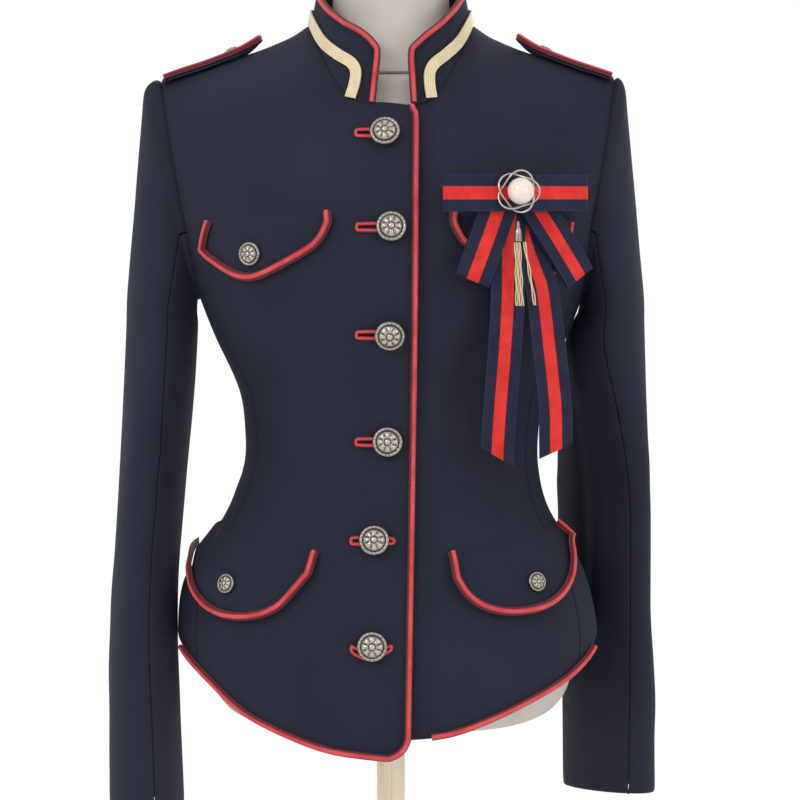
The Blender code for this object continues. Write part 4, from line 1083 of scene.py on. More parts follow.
def side_edge(v, side, on_back):
    """A panel's side seam, then its armhole, as (turn, height)."""
    junction = BACK_JUNCTION if on_back else FRONT_JUNCTION
    waist_turn = SIDE_SEAM_TURN["back" if on_back else "front"] * side
    top_turn = turn_of(armhole_x(junction, side, on_back), junction, on_back)
    if v <= SIDE_SEAM_ROWS:
        share = v / SIDE_SEAM_ROWS
        turn = mix(waist_turn, top_turn, share**3)
        return turn, mix(hem_height(waist_turn), junction, share)
    share = (v - SIDE_SEAM_ROWS) / (1 - SIDE_SEAM_ROWS)
    z = armhole_height(share, junction, side)
    return turn_of(armhole_x(z, side, on_back), z, on_back), z


def neck_station(at):
    """The neck seam's x, height and side of the shoulder line at a place along the collar."""
    x = at_row(COLLAR["x"], at)
    z = at_row(COLLAR["z"], at)
    return x, min(z, along(SHOULDER["x"], SHOULDER["z"], x))


SIDE_STATION = COLLAR["on_back"].index(1) - 1  # where the neck seam crosses the shoulder line


def top_edge(u, side, on_back, first_station=0):
    """Neckline from its start at the centre, then the shoulder seam out to the tip."""
    if on_back:
        first_station = COLLAR_STEPS
    # The panels have one column to each station of the neckline
    neck = abs(SIDE_STATION - first_station) / (BACK_COLUMNS if on_back else FRONT_COLUMNS)
    if u <= neck:
        x, z = neck_station(mix(first_station, SIDE_STATION, u / neck))
        return turn_of(side * x, z, on_back), z
    share = (u - neck) / (1 - neck)
    tip = ARMHOLE["front"][-1] * WEARER_SIDE_SHARE[side]
    x = mix(SHOULDER["x"][1], tip, share)
    z = along(SHOULDER["x"], SHOULDER["z"], x)
    return turn_of(side * x, z, on_back), z


def filled(u, v, bottom, top, start, end):
    """A point inside four edges, each given by a function of its share."""
    corners = (
        (bottom(0), (1 - u) * (1 - v)),
        (bottom(1), u * (1 - v)),
        (top(0), (1 - u) * v),
        (top(1), u * v),
    )
    point = []
    for axis in range(2):
        value = (1 - v) * bottom(u)[axis] + v * top(u)[axis]
        value += (1 - u) * start(v)[axis] + u * end(v)[axis]
        value -= sum(corner[axis] * weight for corner, weight in corners)
        point.append(value)
    return point


def upright_share(v, low, middle, high):
    """Heights up a panel's inner edge, matched to the rows of its side edge."""
    if v <= SIDE_SEAM_ROWS:
        return mix(low, middle, v / SIDE_SEAM_ROWS)
    share = (v - SIDE_SEAM_ROWS) / (1 - SIDE_SEAM_ROWS)
    return mix(middle, high, math.sin(share * math.pi / 2))


def corner_cut(distance):
    """How far a round corner pulls an edge in, this far from the corner."""
    left = max(CORNER_RADIUS - distance, 0)
    return CORNER_RADIUS - math.sqrt(CORNER_RADIUS**2 - left**2)


CORNER_SHARE = CORNER_RADIUS * (1 - math.sqrt(0.5))  # the round corner's middle, from each edge
INNER_MIDDLE = FRONT_JUNCTION - 0.012  # the fronts' height at the middle where the armhole starts
NECK_CORNER = 0.0040  # how far the right front's top edge drops towards its free edge


BODY_RADIUS = 0.13  # the body's, about
SEAM_TURN = math.degrees(SEAM_GAP / 2 / BODY_RADIUS)  # half a seam's gap as a turn


def front_edge(z):
    return along(FRONT_EDGE["z"], FRONT_EDGE["x"], z)


def front_panel(side, inner, hem_turn, first_station):
    """A front from the end of its lap, at x inner, to its side seam, as (turn, height)."""
    neck_z = neck_station(first_station)[1]

    def start(share):
        z = upright_share(share, hem_height(hem_turn), INNER_MIDDLE, neck_z)
        return turn_of(inner, z, False), z

    def top(share):
        return start(1) if share == 0 else top_edge(share, side, False, first_station)

    def end(share):
        turn, z = side_edge(share, side, False)
        return turn - SEAM_TURN * side, z

    def bottom(share):
        turn = mix(start(0)[0], (SIDE_SEAM_TURN["front"] - SEAM_TURN) * side, share)
        return turn, hem_height(turn)

    def panel(u, v):
        return filled((u - LAP_SHARE) / (1 - LAP_SHARE), v, bottom, top, start, end)

    return panel


NECK_START, LEFT_NECK_START = 0, 1  # the neckline's station where each front's panel starts
RIGHT_LAP_END = -COLLAR["x"][NECK_START]
UNDERLAP_END = COLLAR["x"][LEFT_NECK_START]
LEFT_HEM_TURN = 9.0  # turn whose hem height the left panel starts from
RIGHT_PANEL = front_panel(RIGHT, RIGHT_LAP_END, -7.0, NECK_START)
LEFT_PANEL = front_panel(LEFT, UNDERLAP_END, LEFT_HEM_TURN, LEFT_NECK_START)


def right_front_place(u, v, depth):
    """The right front: the strip that laps over the left front, then the panel to its side seam."""
    neck_z = COLLAR["z"][NECK_START]
    low = hem_height(-1)
    edge = front_edge(upright_share(v, low, INNER_MIDDLE, neck_z))

    def height(x):
        share = (x - RIGHT_LAP_END) / (edge - RIGHT_LAP_END)
        corner = low + corner_cut(edge - x)
        return upright_share(v, corner, INNER_MIDDLE, neck_z - NECK_CORNER * share**2)

    if u < LAP_SHARE:
        free = edge - corner_cut(height(edge - CORNER_SHARE) - low)
        x = mix(free, RIGHT_LAP_END, u / LAP_SHARE)
        z = height(x)
        turn = turn_of(x, z, False)
    else:
        turn, z = RIGHT_PANEL(u, v)
    return shoulder_parted(on_body(turn, z, -depth), False)


def shoulder_parted(point, on_back):
    """Keeps the fronts and the backs a seam's gap apart at the shoulder line."""
    gap = SEAM_GAP / 2 * (1 if on_back else -1)
    return point + Vector((0, gap, 0))


UNDERLAP_EASE = 0.0005  # past its end before it starts to rise
UNDERLAP_RISE = 0.010  # over which it comes up to the surface
UNDERLAP_GAP = 0.0009  # between the two fronts


def underlap_depth(x):
    """How far the left front lies below the surface, where the right front covers it."""
    share = min(max((x - UNDERLAP_END - UNDERLAP_EASE) / UNDERLAP_RISE, 0), 1)
    return (CLOTH + UNDERLAP_GAP) * (1 - eased(share))


def left_front_place(u, v, depth):
    """The left front: a strip under the right front, then the panel up to its side seam."""
    if u < LAP_SHARE:
        share = u / LAP_SHARE
        x = mix(UNDERLAP_EDGE, UNDERLAP_END, share)
        low = mix(hem_height(0.01), hem_height(LEFT_HEM_TURN), share)
        high = mix(COLLAR["z"][0] - NECK_CORNER, neck_station(LEFT_NECK_START)[1], share)
        z = upright_share(v, low, INNER_MIDDLE, high)
        turn = turn_of(x, z, False)
    else:
        turn, z = LEFT_PANEL(u, v)
    sunk = underlap_depth(turned_x(turn, z))
    return shoulder_parted(on_body(turn, z, -depth - sunk), False)


def side_place(side):
    def armhole_arc(share):
        """The armhole's lower arc, from the front seam to the back seam."""
        low = ARMHOLE["z"][0]
        swing = 2 * share - 1
        junction = BACK_JUNCTION if swing > 0 else FRONT_JUNCTION
        z = low + (junction - low) * abs(swing) ** 2
        on_back = swing > 0
        turn = turn_of(armhole_x(z, side, on_back), z, on_back)
        return (turn, z) if abs(swing) > 0.001 else (90.0 * side, low)

    def seam(share, on_back):
        turn, z = side_edge(share * SIDE_SEAM_ROWS, side, on_back)
        return turn - SEAM_TURN * side * (1 if on_back else -1), z

    def bottom(share):
        turn = mix(seam(0, False)[0], seam(0, True)[0], share)
        return turn, hem_height(turn)

    def top(share):
        turn, z = armhole_arc(share)
        return turn + SEAM_TURN * side * (1 - 2 * share), z

    def start(share):
        return seam(share, False)

    def end(share):
        return seam(share, True)

    def place(u, v, depth):
        turn, z = filled(u, v, bottom, top, start, end)
        return on_body(turn, z, -depth)

    return place


def back_place(side):
    centre = (180 - SEAM_TURN) * side

    def start(share):
        z = upright_share(share, hem_height(180 * side), BACK_JUNCTION, COLLAR["z"][-1])
        return centre, z

    def end(share):
        turn, z = side_edge(share, side, True)
        return turn + SEAM_TURN * side, z

    def top(share):
        turn, z = top_edge(share, side, True)
        return (centre, z) if share == 0 else (turn, z)

    def bottom(share):
        turn = mix(centre, end(0)[0], share)
        return turn, hem_height(turn)

    def place(u, v, depth):
        turn, z = filled(u, v, bottom, top, start, end)
        return shoulder_parted(on_body(turn, z, -depth), True)

    return place


# ---------------------------------------------------------------- sleeves


def sleeve_row(side, z):
    rows = SLEEVES[side]
    return [along(rows["z"], rows[name], z) for name in ("x", "y", "wide", "deep", "turn")]


def tube_point(side, turn, z):
    """A point of the hanging sleeve. turn is 0 on its outer side and 90 at its front."""
    x, y, wide, deep, twist = sleeve_row(side, z)
    out = wide * math.cos(math.radians(turn))
    forward = deep * math.sin(math.radians(turn))
    twist = math.radians(twist)
    out, forward = (
        out * math.cos(twist) + forward * math.sin(twist),
        forward * math.cos(twist) - out * math.sin(twist),
    )
    return Vector((side * (x + out), y - forward, z))


def armhole_ring(side, turn):
    """The armhole's edge at a turn of the sleeve."""
    top, low = armhole_top(side), ARMHOLE["z"][0]
    z = mix(low, top, (1 + math.cos(math.radians(turn))) / 2)
    on_back = math.sin(math.radians(turn)) < 0
    return body_point(armhole_x(z, side, on_back), z, on_back)


def sleeve_point(side, turn, v):
    if v >= SLEEVE_HEAD_SHARE:
        share = (v - SLEEVE_HEAD_SHARE) / (1 - SLEEVE_HEAD_SHARE)
        return tube_point(side, turn, mix(SLEEVE_TOP, SLEEVES[side]["z"][-1], share))
    share = (v / SLEEVE_HEAD_SHARE) ** 2
    upper = (1 + math.cos(math.radians(turn))) / 2
    rounded = math.sqrt(1 - (1 - min(share / HEAD_ROUND, 1)) ** 2)
    out = ARMHOLE_EASE + HEAD_FULLNESS[side] * rounded * mix(0.25, 1, upper) * (1 - share)
    point = armhole_ring(side, turn).lerp(tube_point(side, turn, SLEEVE_TOP), share)
    return point + Vector((side * out, 0, 0))


# Soft folds in the sleeves, as the body's, but each route is (turn of the sleeve, height)
SLEEVE_FOLDS = {
    RIGHT: (
        (0.0110, -0.0022, ((48, 0.548), (95, 0.532), (140, 0.502))),
        (0.0090, -0.0017, ((72, 0.500), (112, 0.492), (152, 0.468))),
        (0.0100, 0.0014, ((62, 0.523), (112, 0.511), (150, 0.488))),
        (0.0120, -0.0024, ((200, 0.562), (245, 0.532), (292, 0.520))),
        (0.0100, -0.0019, ((212, 0.520), (252, 0.500), (286, 0.494))),
        (0.0150, 0.0018, ((82, 0.632), (78, 0.600), (72, 0.562))),
        (0.0170, -0.0016, ((22, 0.450), (15, 0.385), (12, 0.315))),
        (0.0140, -0.0018, ((160, 0.425), (168, 0.360), (172, 0.295))),
        (0.0100, 0.0013, ((100, 0.430), (104, 0.372), (110, 0.320))),
        (0.0120, -0.0016, ((-40, 0.420), (-52, 0.362), (-70, 0.320))),
    ),
    LEFT: (
        (0.0060, 0.0017, ((176, 0.628), (177, 0.540), (176, 0.450), (172, 0.330))),
        (0.0115, -0.0034, ((154, 0.520), (156, 0.468), (158, 0.415), (158, 0.362))),
        (0.0110, -0.0020, ((166, 0.622), (160, 0.585), (150, 0.548))),
        (0.0120, -0.0022, ((208, 0.562), (250, 0.532), (298, 0.520))),
        (0.0100, -0.0017, ((214, 0.517), (254, 0.496), (290, 0.490))),
        (0.0160, 0.0014, ((30, 0.600), (22, 0.510), (18, 0.425))),
        (0.0110, -0.0018, ((58, 0.532), (98, 0.515), (134, 0.506))),
        (0.0150, -0.0016, ((40, 0.400), (48, 0.340), (50, 0.290))),
    ),
}


def sleeve_fold_lines(side):
    return [
        fold_line(width, stand, [tube_point(side, turn, z) for turn, z in route])
        for width, stand, route in SLEEVE_FOLDS[side]
    ]


SLEEVE_FOLD_LINES = {side: sleeve_fold_lines(side) for side, _ in SIDES}


SLEEVE_SEAM_TURN = 0.10  # half a sleeve seam's gap as a turn
SLEEVE_ROWS = 14
ALLOWANCE_SHARE = 2 / (4 * SLEEVE_ROWS)  # of a sleeve's rows, for what is turned in at its head
ALLOWANCE_WIDTH, ALLOWANCE_DEPTH = 0.0060, 0.0042
ALLOWANCE_GAP = 0.0008  # between it and the panel that it lies under
HEAD_FOLD_SHARE = 0.05  # share of the sleeve over which its folds fade in below the head


def sleeve_place(side, start, end):
    """The part of a sleeve between two turns."""

    def place(u, v, depth):
        turn = mix(start, end, u)
        turned_in = v < ALLOWANCE_SHARE - 0.001
        allowance, v = v / ALLOWANCE_SHARE, (v - ALLOWANCE_SHARE) / (1 - ALLOWANCE_SHARE)
        if turned_in:
            # The seam allowance passes the panel's edge and lies under the panel
            ring = armhole_ring(side, turn)
            inner = ring - body_normal(ring) * mix(ALLOWANCE_DEPTH, CLOTH + ALLOWANCE_GAP, allowance)
            reach = mix(-ALLOWANCE_WIDTH, ALLOWANCE_GAP + depth, allowance)
            sunk = body_normal(ring) * depth * (1 - allowance)
            return inner + Vector((side * reach, 0, 0)) - sunk
        v = min(max(v, 0.0), 1.0)
        point = sleeve_point(side, turn, v)
        low, high = max(v - NEAR, 0), min(v + NEAR, 1)
        down = sleeve_point(side, turn, high) - sleeve_point(side, turn, low)
        round_it = sleeve_point(side, turn + 1, v) - sleeve_point(side, turn - 1, v)
        normal = round_it.cross(down).normalized() * side
        lift = fold_lift(point, SLEEVE_FOLD_LINES[side]) * min(v / HEAD_FOLD_SHARE, 1)
        return point + normal * (depth - lift)

    return place


def add_sleeves():
    for side, word in SIDES:
        upper = sleeve_place(side, -SLEEVE_SEAM, SLEEVE_SEAM)
        under = sleeve_place(
            side, SLEEVE_SEAM + SLEEVE_SEAM_TURN, 360 - SLEEVE_SEAM - SLEEVE_SEAM_TURN
        )
        add_sheet(f"sleeve_upper_{word}", "navy_wool", across=9, rows=SLEEVE_ROWS, place=upper)
        add_sheet(f"sleeve_under_{word}", "navy_wool", across=6, rows=SLEEVE_ROWS, place=under)


# ---------------------------------------------------------------- collar and braid

COLLAR_LIFT = -0.0016  # above the panels' neck edge


def seam_point(station):
    x, z = neck_station(station)
    return body_point(x, z, station > SIDE_STATION)


def collar_edges(away, side):
    """The seam point and the top point. away is 0 at the front edge and 1 at the centre back."""
    at = away * COLLAR_STEPS
    seam = seam_point(at)
    if at < 1:
        start = body_point(COLLAR_START[side], seam_point(0).z, False)
        seam = start.lerp(seam_point(1), at)
    top = Vector([at_row(COLLAR[name], at) for name in ("top_x", "top_y", "top_z")])
    seam = Vector((seam.x * side, seam.y, seam.z + COLLAR_LIFT))
    top.x = top.x * side + at_row(COLLAR["shift"], at)
    return seam, top


def collar_point(round_share, v):
    """round_share runs from the right front edge at 0, by the back at 0.5, to the left at 1."""
    if round_share <= 0.5:
        seam, top = collar_edges(2 * round_share, RIGHT)
    else:
        seam, top = collar_edges(2 - 2 * round_share, LEFT)
    return seam.lerp(top, v)


def collar_place(u, v, depth):
    point = collar_point(u, v)
    low, high = max(u - NEAR, 0), min(u + NEAR, 1)
    if low < 0.5 < high:
        round_it = Vector((1, 0, 0))
    else:
        round_it = collar_point(high, v) - collar_point(low, v)
    up = collar_point(u, 1) - collar_point(u, 0)
    normal = round_it.cross(up).normalized()
    return point + normal * depth


# The braid's route on one half of the collar, by station along it and share of its height
BRAID = table(
    "station height",
    (1.55, 0.03),
    (1.48, 0.25),
    (1.60, 0.42),
    (2.10, 0.48),
    (3.00, 0.42),
    (4.00, 0.29),
    (5.00, 0.24),
    (6.00, 0.28),
    (7.00, 0.30),
    (8.00, 0.30),
)


def braid_station(share):
    """The braid's middle at a share of its length, as a place on the collar."""
    at = (len(BRAID["station"]) - 1) * (1 - abs(2 * share - 1))
    round_share = at_row(BRAID["station"], at) / COLLAR_STEPS / 2
    return (round_share if share <= 0.5 else 1 - round_share), at_row(BRAID["height"], at)


BRAID_NEAR = 0.006  # as NEAR, for the braid


def braid_place(u, v, depth):
    lift = BRAID_GAP + BRAID_THICKNESS - depth
    middle = collar_place(*braid_station(v), -lift)
    before = collar_place(*braid_station(max(v - BRAID_NEAR, 0)), -lift)
    after = collar_place(*braid_station(min(v + BRAID_NEAR, 1)), -lift)
    raised = collar_place(*braid_station(v), -lift - 0.001)
    across = (after - before).cross(raised - middle).normalized()
    return middle + across * (u - 0.5) * BRAID_WIDTH


# ---------------------------------------------------------------- flaps and shoulder straps


FLAP_SEAM_STAND, FLAP_SEAM_SHARE = 0.10, 0.16  # a flap rises from its seam over this share


def flap_sizes(kind, side):
    return dict(zip(FLAP_COLUMNS.split(), FLAPS[kind, side]))


def flap_place(kind, side):
    """u runs from the flap's front end to its side end, v from its seam to its lower edge."""
    flap = flap_sizes(kind, side)
    edge = FLAP_EDGES[kind, side]

    def place(u, v, depth):
        turn = mix(flap["front"], flap["side"], u)
        drop = along(edge["turn"], edge["drop"], turn - flap["front"]) * v
        turn -= flap["lean"] * u**3 * (1 - v)
        z = mix(flap["top_front"], flap["top_side"], u) - drop
        raised = min(FLAP_SEAM_STAND + v / FLAP_SEAM_SHARE, 1)
        lift = (LIE_GAP + CLOTH) * raised + flap["lift"] * v**1.5
        return on_body(turn * side, z, lift - depth)

    return place


def rounded(share):
    """A share from 0 to 1 that moves slowly near both ends."""
    return (1 - math.cos(math.pi * share)) / 2


WIDE_LIP, NARROW_LIP = 1.65, 1.32  # the piping's sewn edges, in radii from its middle
FLAP_PIPING_GAP, STRAP_PIPING_GAP = 0.0015, 0.0006  # below the piping on each
FRONT_PIPING_GAP, COLLAR_PIPING_GAP = 0.0011, 0.0003
FLAP_PIPING_START = 0.012  # share of a flap's width from its end to its piping's middle
FLAP_PIPING_STEPS = 15


def add_flap(kind, side, word):
    flap = flap_sizes(kind, side)
    place = flap_place(kind, side)

    def spread_place(u, v, depth):
        return place(mix(u, rounded(u), 0.7), v, depth)

    add_sheet(f"flap_{kind}_{word}", "navy_wool", across=10, rows=4, place=spread_place)
    lift = -(PIPING_RADIUS + FLAP_PIPING_GAP)
    first, last = FLAP_PIPING_START, 1 - FLAP_PIPING_START
    edge = [(first, v) for v in (0.08, 0.5)]
    shares = [rounded(i / FLAP_PIPING_STEPS) for i in range(FLAP_PIPING_STEPS + 1)]
    edge += [(mix(first, last, share), 0.96) for share in shares]
    if flap["side"] < 90:  # a side end that lies further back has no piping up it
        edge += [(last, v) for v in (0.5, 0.08)]
    points = [place(u, v, lift) for u, v in edge]
    name = f"piping_flap_{kind}_{word}"
    add_cord(name, "red_piping", points, PIPING_RADIUS, piping_section(WIDE_LIP))
    turn, down, radius = FLAP_BUTTONS[kind, side]
    along_flap = turn / (flap["side"] - flap["front"])
    seat = place(along_flap, down, -BUTTON_GAP)
    facing = seat - place(along_flap, down, 0)
    add_button(f"button_flap_{kind}_{word}", seat, facing, radius)


STRAP = table(
    "share x lift half_width",
    (0.00, 0.1870, 0.0022, 0.0190),
    (0.25, 0.1670, 0.0030, 0.0190),
    (0.55, 0.1420, 0.0042, 0.0185),
    (0.80, 0.1215, 0.0060, 0.0170),
    (0.93, 0.1115, 0.0078, 0.0110),
    (1.00, 0.1070, 0.0088, 0.0030),
)
STRAP_DROOP = 12.0  # how much the strap's edges bend down, per metre squared of its width


def strap_place(side):
    """u runs across the shoulder strap from front to back, v from the sleeve to its free end."""
    reach = WEARER_SIDE_SHARE[side]

    def place(u, v, depth):
        x = along(STRAP["share"], STRAP["x"], v) * reach
        y = (2 * u - 1) * along(STRAP["share"], STRAP["half_width"], v)
        lift = along(STRAP["share"], STRAP["lift"], v)
        z = along(SHOULDER["x"], SHOULDER["z"], x) + lift - STRAP_DROOP * y * y
        return Vector((side * x, y, z - depth))

    return place


def upwards(_):
    return Vector((0, 0, 1))


def add_strap(side, word):
    place = strap_place(side)
    add_sheet(f"strap_{word}", "navy_wool", across=6, rows=8, place=place, held="laid")
    lift = -(PIPING_RADIUS + STRAP_PIPING_GAP)
    shares = (0.02, 0.2, 0.4, 0.6, 0.78, 0.9, 0.97)
    edge = [(0.05, v) for v in shares] + [(0.5, 0.985)] + [(0.95, v) for v in shares[::-1]]
    points = [place(u, v, lift) for u, v in edge]
    section = piping_section(NARROW_LIP)
    add_cord(f"piping_strap_{word}", "red_piping", points, PIPING_RADIUS, section, out=upwards)
    seat = place(0.46, 0.70, -BUTTON_GAP - 0.0005)
    facing = (0.36 * side, -0.08, 1)
    add_button(f"button_strap_{word}", seat, facing, SMALL_BUTTON_RADIUS)


# ---------------------------------------------------------------- piping, buttons, buttonholes


FRONT_PIPING_INSET = 0.0022  # from the cloth's edge to the piping's middle
FRONT_PIPING_STEPS, HEM_PIPING_STEPS = 20, 15


def add_front_piping():
    """Down the right front's free edge and round its hem, and along the left front's hem."""
    lift = PIPING_RADIUS + FRONT_PIPING_GAP
    inset = FRONT_PIPING_INSET
    low = hem_height(-1)
    neck = COLLAR["z"][0] - NECK_CORNER - 0.0006
    points = []
    for down, bend in ((0, 0.0036), (0.0045, 0.0017), (0.009, 0.0003)):
        points.append(on_front(front_edge(neck) - inset - bend, neck - down, lift))
    for i in range(1, FRONT_PIPING_STEPS + 1):
        z = mix(neck - 0.014, low + CORNER_RADIUS, i / FRONT_PIPING_STEPS)
        points.append(on_front(front_edge(z) - inset, z, lift))
    radius = CORNER_RADIUS - inset
    for degrees in (18, 36, 54, 72, 90):
        angle = math.radians(degrees)
        x = front_edge(low) - CORNER_RADIUS + radius * math.cos(angle)
        z = low + CORNER_RADIUS - radius * math.sin(angle)
        points.append(on_front(x, z, lift))

    def hem(start, end):
        """The piping's route along the hem between two turns, and its start."""
        turns = [mix(start, end, i / HEM_PIPING_STEPS) for i in range(HEM_PIPING_STEPS + 1)]
        return [on_body(turn, hem_height(turn) + inset, lift) for turn in turns]

    points += hem(-2.5, -HEM_PIPING_END)[1:]
    section = piping_section(NARROW_LIP)
    add_cord("piping_front_right", "red_piping", points, PIPING_RADIUS, section)
    points = hem(9.5, HEM_PIPING_END)
    add_cord("piping_front_left", "red_piping", points, PIPING_RADIUS, section)


def add_collar_piping():
    """Up one front edge of the collar, round its top and down the other."""
    lift = -(PIPING_RADIUS + COLLAR_PIPING_GAP)
    inset = 0.010
    edge = [(inset, v) for v in (0.02, 0.35, 0.65)] + [(inset + 0.002, 0.86)]
    edge += [(mix(0.022, 0.978, i / 30), 0.955) for i in range(31)]
    edge += [(1 - u, v) for u, v in edge[3::-1]]
    points = [collar_place(u, v, lift) for u, v in edge]
    add_cord("piping_collar", "red_piping", points, PIPING_RADIUS, piping_section(NARROW_LIP))


PETALS, BEADS = 8, 20  # of a button's rosette and of its rim


def rosette(out, angle):
    """The height of a button's face, in radii: a boss, a ring of petals and a beaded rim."""
    if out < 0.20:
        return 0.060 * (1 - (out / 0.20) ** 2)
    if out < 0.27:
        return -0.045
    if out < 0.72:
        petal = abs(math.cos(PETALS * angle / 2))
        swell = math.sin(math.pi * (out - 0.27) / 0.45)
        return swell * (0.110 * petal**0.6 - 0.065)
    if out < 0.78:
        return -0.040
    bead = abs(math.cos(BEADS * angle / 2))
    return 0.030 * bead - 0.012 if out < 0.97 else 0.0


BUTTON_FACE = table(
    "out up",
    (0.00, 0.52),
    (0.20, 0.51),
    (0.40, 0.475),
    (0.60, 0.405),
    (0.74, 0.330),
    (0.80, 0.275),
    (0.88, 0.290),
    (0.95, 0.265),
    (1.00, 0.180),
)


BUTTON_STEPS = 22  # from a button's middle to its rim


def add_button(node, at, facing, radius):
    """A domed metal button with a rim, standing on its flat back."""
    profile = []
    for i in range(BUTTON_STEPS + 1):
        out = i / BUTTON_STEPS
        profile.append((radius * out, radius * along(BUTTON_FACE["out"], BUTTON_FACE["up"], out)))
    profile += [(radius * 0.97, radius * 0.06), (radius * 0.88, 0.0), (0, 0)]
    add_turned(node, "silver", profile, 66, at, Vector(facing).normalized(), rosette)


BUTTONHOLE_GAP = LIE_GAP + 0.0005  # below a buttonhole's cord
BUTTON_ON_HOLE = 0.0006  # between that cord and its button


def add_front_buttons():
    lift = BUTTONHOLE_RADIUS + BUTTONHOLE_GAP
    for i, (x, z) in enumerate(zip(FRONT_BUTTONS["x"], FRONT_BUTTONS["z"])):
        seat = on_front(x, z, lift + BUTTONHOLE_RADIUS + BUTTON_ON_HOLE)
        add_button(f"button_front_{i + 1}", seat, body_normal(seat), BUTTON_RADIUS)
        start, end = FRONT_BUTTONS["hole_start"][i], FRONT_BUTTONS["hole_end"][i]
        middle, reach = (start + end) / 2, (end - start) / 2
        points = []
        for around in (0, 45, 90, 112, 135, 225, 248, 270, 315):
            angle = math.radians(around)
            across = math.copysign(abs(math.cos(angle)) ** 0.4, math.cos(angle)) * reach
            up = math.sin(angle) * BUTTONHOLE_HALF_HEIGHT
            sag = FRONT_BUTTONS["sag"][i] * (1 - (across / reach) ** 2)
            points.append(on_front(middle + across, z + up - sag, lift))
        section = piping_section(NARROW_LIP)
        name = f"buttonhole_{i + 1}"
        add_cord(name, "red_piping", points, BUTTONHOLE_RADIUS, section, closed=True)


# ---------------------------------------------------------------- bow and brooch


ASKEW_FROM = 0.85  # share of a tail's length past which its rows turn askew
RIBBON_NEAR = 0.003  # as NEAR, for the ribbons


def ribbon_place(route, across, slant):
    """A ribbon along a route. across points over its width, and slant cuts its far end askew."""

    def place(u, v, depth):
        short = 1 - u if slant > 0 else u
        v -= abs(slant) * short * max(v - ASKEW_FROM, 0) / (1 - ASKEW_FROM)
        middle = route_point(route, v)
        before = route_point(route, max(v - RIBBON_NEAR, 0))
        after = route_point(route, min(v + RIBBON_NEAR, 1))
        normal = across.cross(after - before).normalized()
        return middle + across * (u - 0.5) * RIBBON_WIDTH - normal * depth

    return place


def folded_loop(root, tip, out, gap):
    """Out from the root along the back layer, round the tip and home along the front layer."""
    root, tip, out = Vector(root), Vector(tip), Vector(out).normalized()
    away = (tip - root).normalized()
    back = [root.lerp(tip, share) + out * bow for share, bow in ((0, 0), (0.5, 0.0012), (0.92, 0))]
    turn = [
        tip + out * gap * 0.12 - away * 0.0008,
        tip + out * gap * 0.5 + away * 0.0006,
        tip + out * gap * 0.88 - away * 0.0008,
    ]
    front = [
        root.lerp(tip, share) + out * (gap + bow)
        for share, bow in ((0.92, 0), (0.5, 0.0010), (0, 0))
    ]
    return back + turn + front


TAIL_RIGHT = (
    (0.0948, -0.1094, 0.7220),
    (0.0927, -0.1128, 0.6973),
    (0.0922, -0.1169, 0.6760),
    (0.0919, -0.1168, 0.6462),
    (0.0895, -0.1125, 0.6050),
    (0.0864, -0.1100, 0.5660),
    (0.0845, -0.1085, 0.5380),
    (0.0838, -0.1075, 0.5170),
)
TAIL_LEFT = (
    (0.1015, -0.1050, 0.7220),
    (0.1060, -0.1046, 0.6970),
    (0.1145, -0.1056, 0.6730),
    (0.1197, -0.1046, 0.6570),
    (0.1249, -0.1050, 0.6140),
    (0.1300, -0.1038, 0.5660),
    (0.1306, -0.1030, 0.5400),
    (0.1308, -0.1025, 0.5235),
)
TAIL_ACROSS = Vector((1, 0.42, 0))
TAIL_SLANT = 0.11  # how much of its length a tail's cut end runs askew
# Each loop's root and tip on the layer next to the jacket, and the way its layers part
BOW_LOOPS = {
    "right": ((0.0884, -0.1192, 0.7330), (0.0640, -0.1296, 0.6650), (0.30, -1, 0)),
    "left": ((0.1075, -0.1060, 0.7330), (0.1490, -0.0892, 0.6680), (0.62, -1, 0)),
}
BOW_BAR = ((0.0425, -0.1382, 0.7319), (0.0995, -0.1214, 0.7328), (0.1555, -0.0885, 0.7347))
LAYER_GAP = 0.0023  # between the two layers of a folded ribbon


def add_ribbon(name, rows, route, across, slant=0.0):
    place = ribbon_place(route, across.normalized(), slant)
    held = "hung" if slant else "folded"
    finer = {"finer": (6, 5), "levels": 0}
    add_sheet(name, "ribbon", 2, rows, place, RIBBON_THICKNESS, held, **finer)


def add_bow():
    add_ribbon("bow_tail_right", 9, TAIL_RIGHT, TAIL_ACROSS, TAIL_SLANT)
    add_ribbon("bow_tail_left", 9, TAIL_LEFT, TAIL_ACROSS, -TAIL_SLANT)
    for word, (root, tip, out) in BOW_LOOPS.items():
        across = (Vector(tip) - Vector(root)).cross(Vector(out))
        add_ribbon(f"bow_loop_{word}", 14, folded_loop(root, tip, out, LAYER_GAP), across)
    start, middle, end = (Vector(point) for point in BOW_BAR)
    parted = Vector((0.0006, 0, 0))
    first = folded_loop(middle - parted, start, (0, -1, 0), LAYER_GAP)
    second = folded_loop(middle + parted, end, (0, -1, 0), LAYER_GAP)
    add_ribbon("bow_bar", 26, first[:-1] + second[::-1], Vector((0, 0, 1)))


BROOCH = Vector((0.1000, -0.1334, 0.7335))  # the middle of the wire rings
PEARL_RADIUS = 0.0105
PEARL_PLACE = Vector((0.0020, -0.0056, 0))  # the pearl's middle from there
WIRE_RADIUS = 0.0009
WIRE_TURNS, WIRE_WAVES = 2, 5
WIRE_MIDDLE, WIRE_SWING, WIRE_DEPTH = 0.0143, 0.0024, 0.0017
WIRE_POINTS = 120
CAP_DROP = 0.0390  # from the rings' middle down to the underside of the tassel's cap
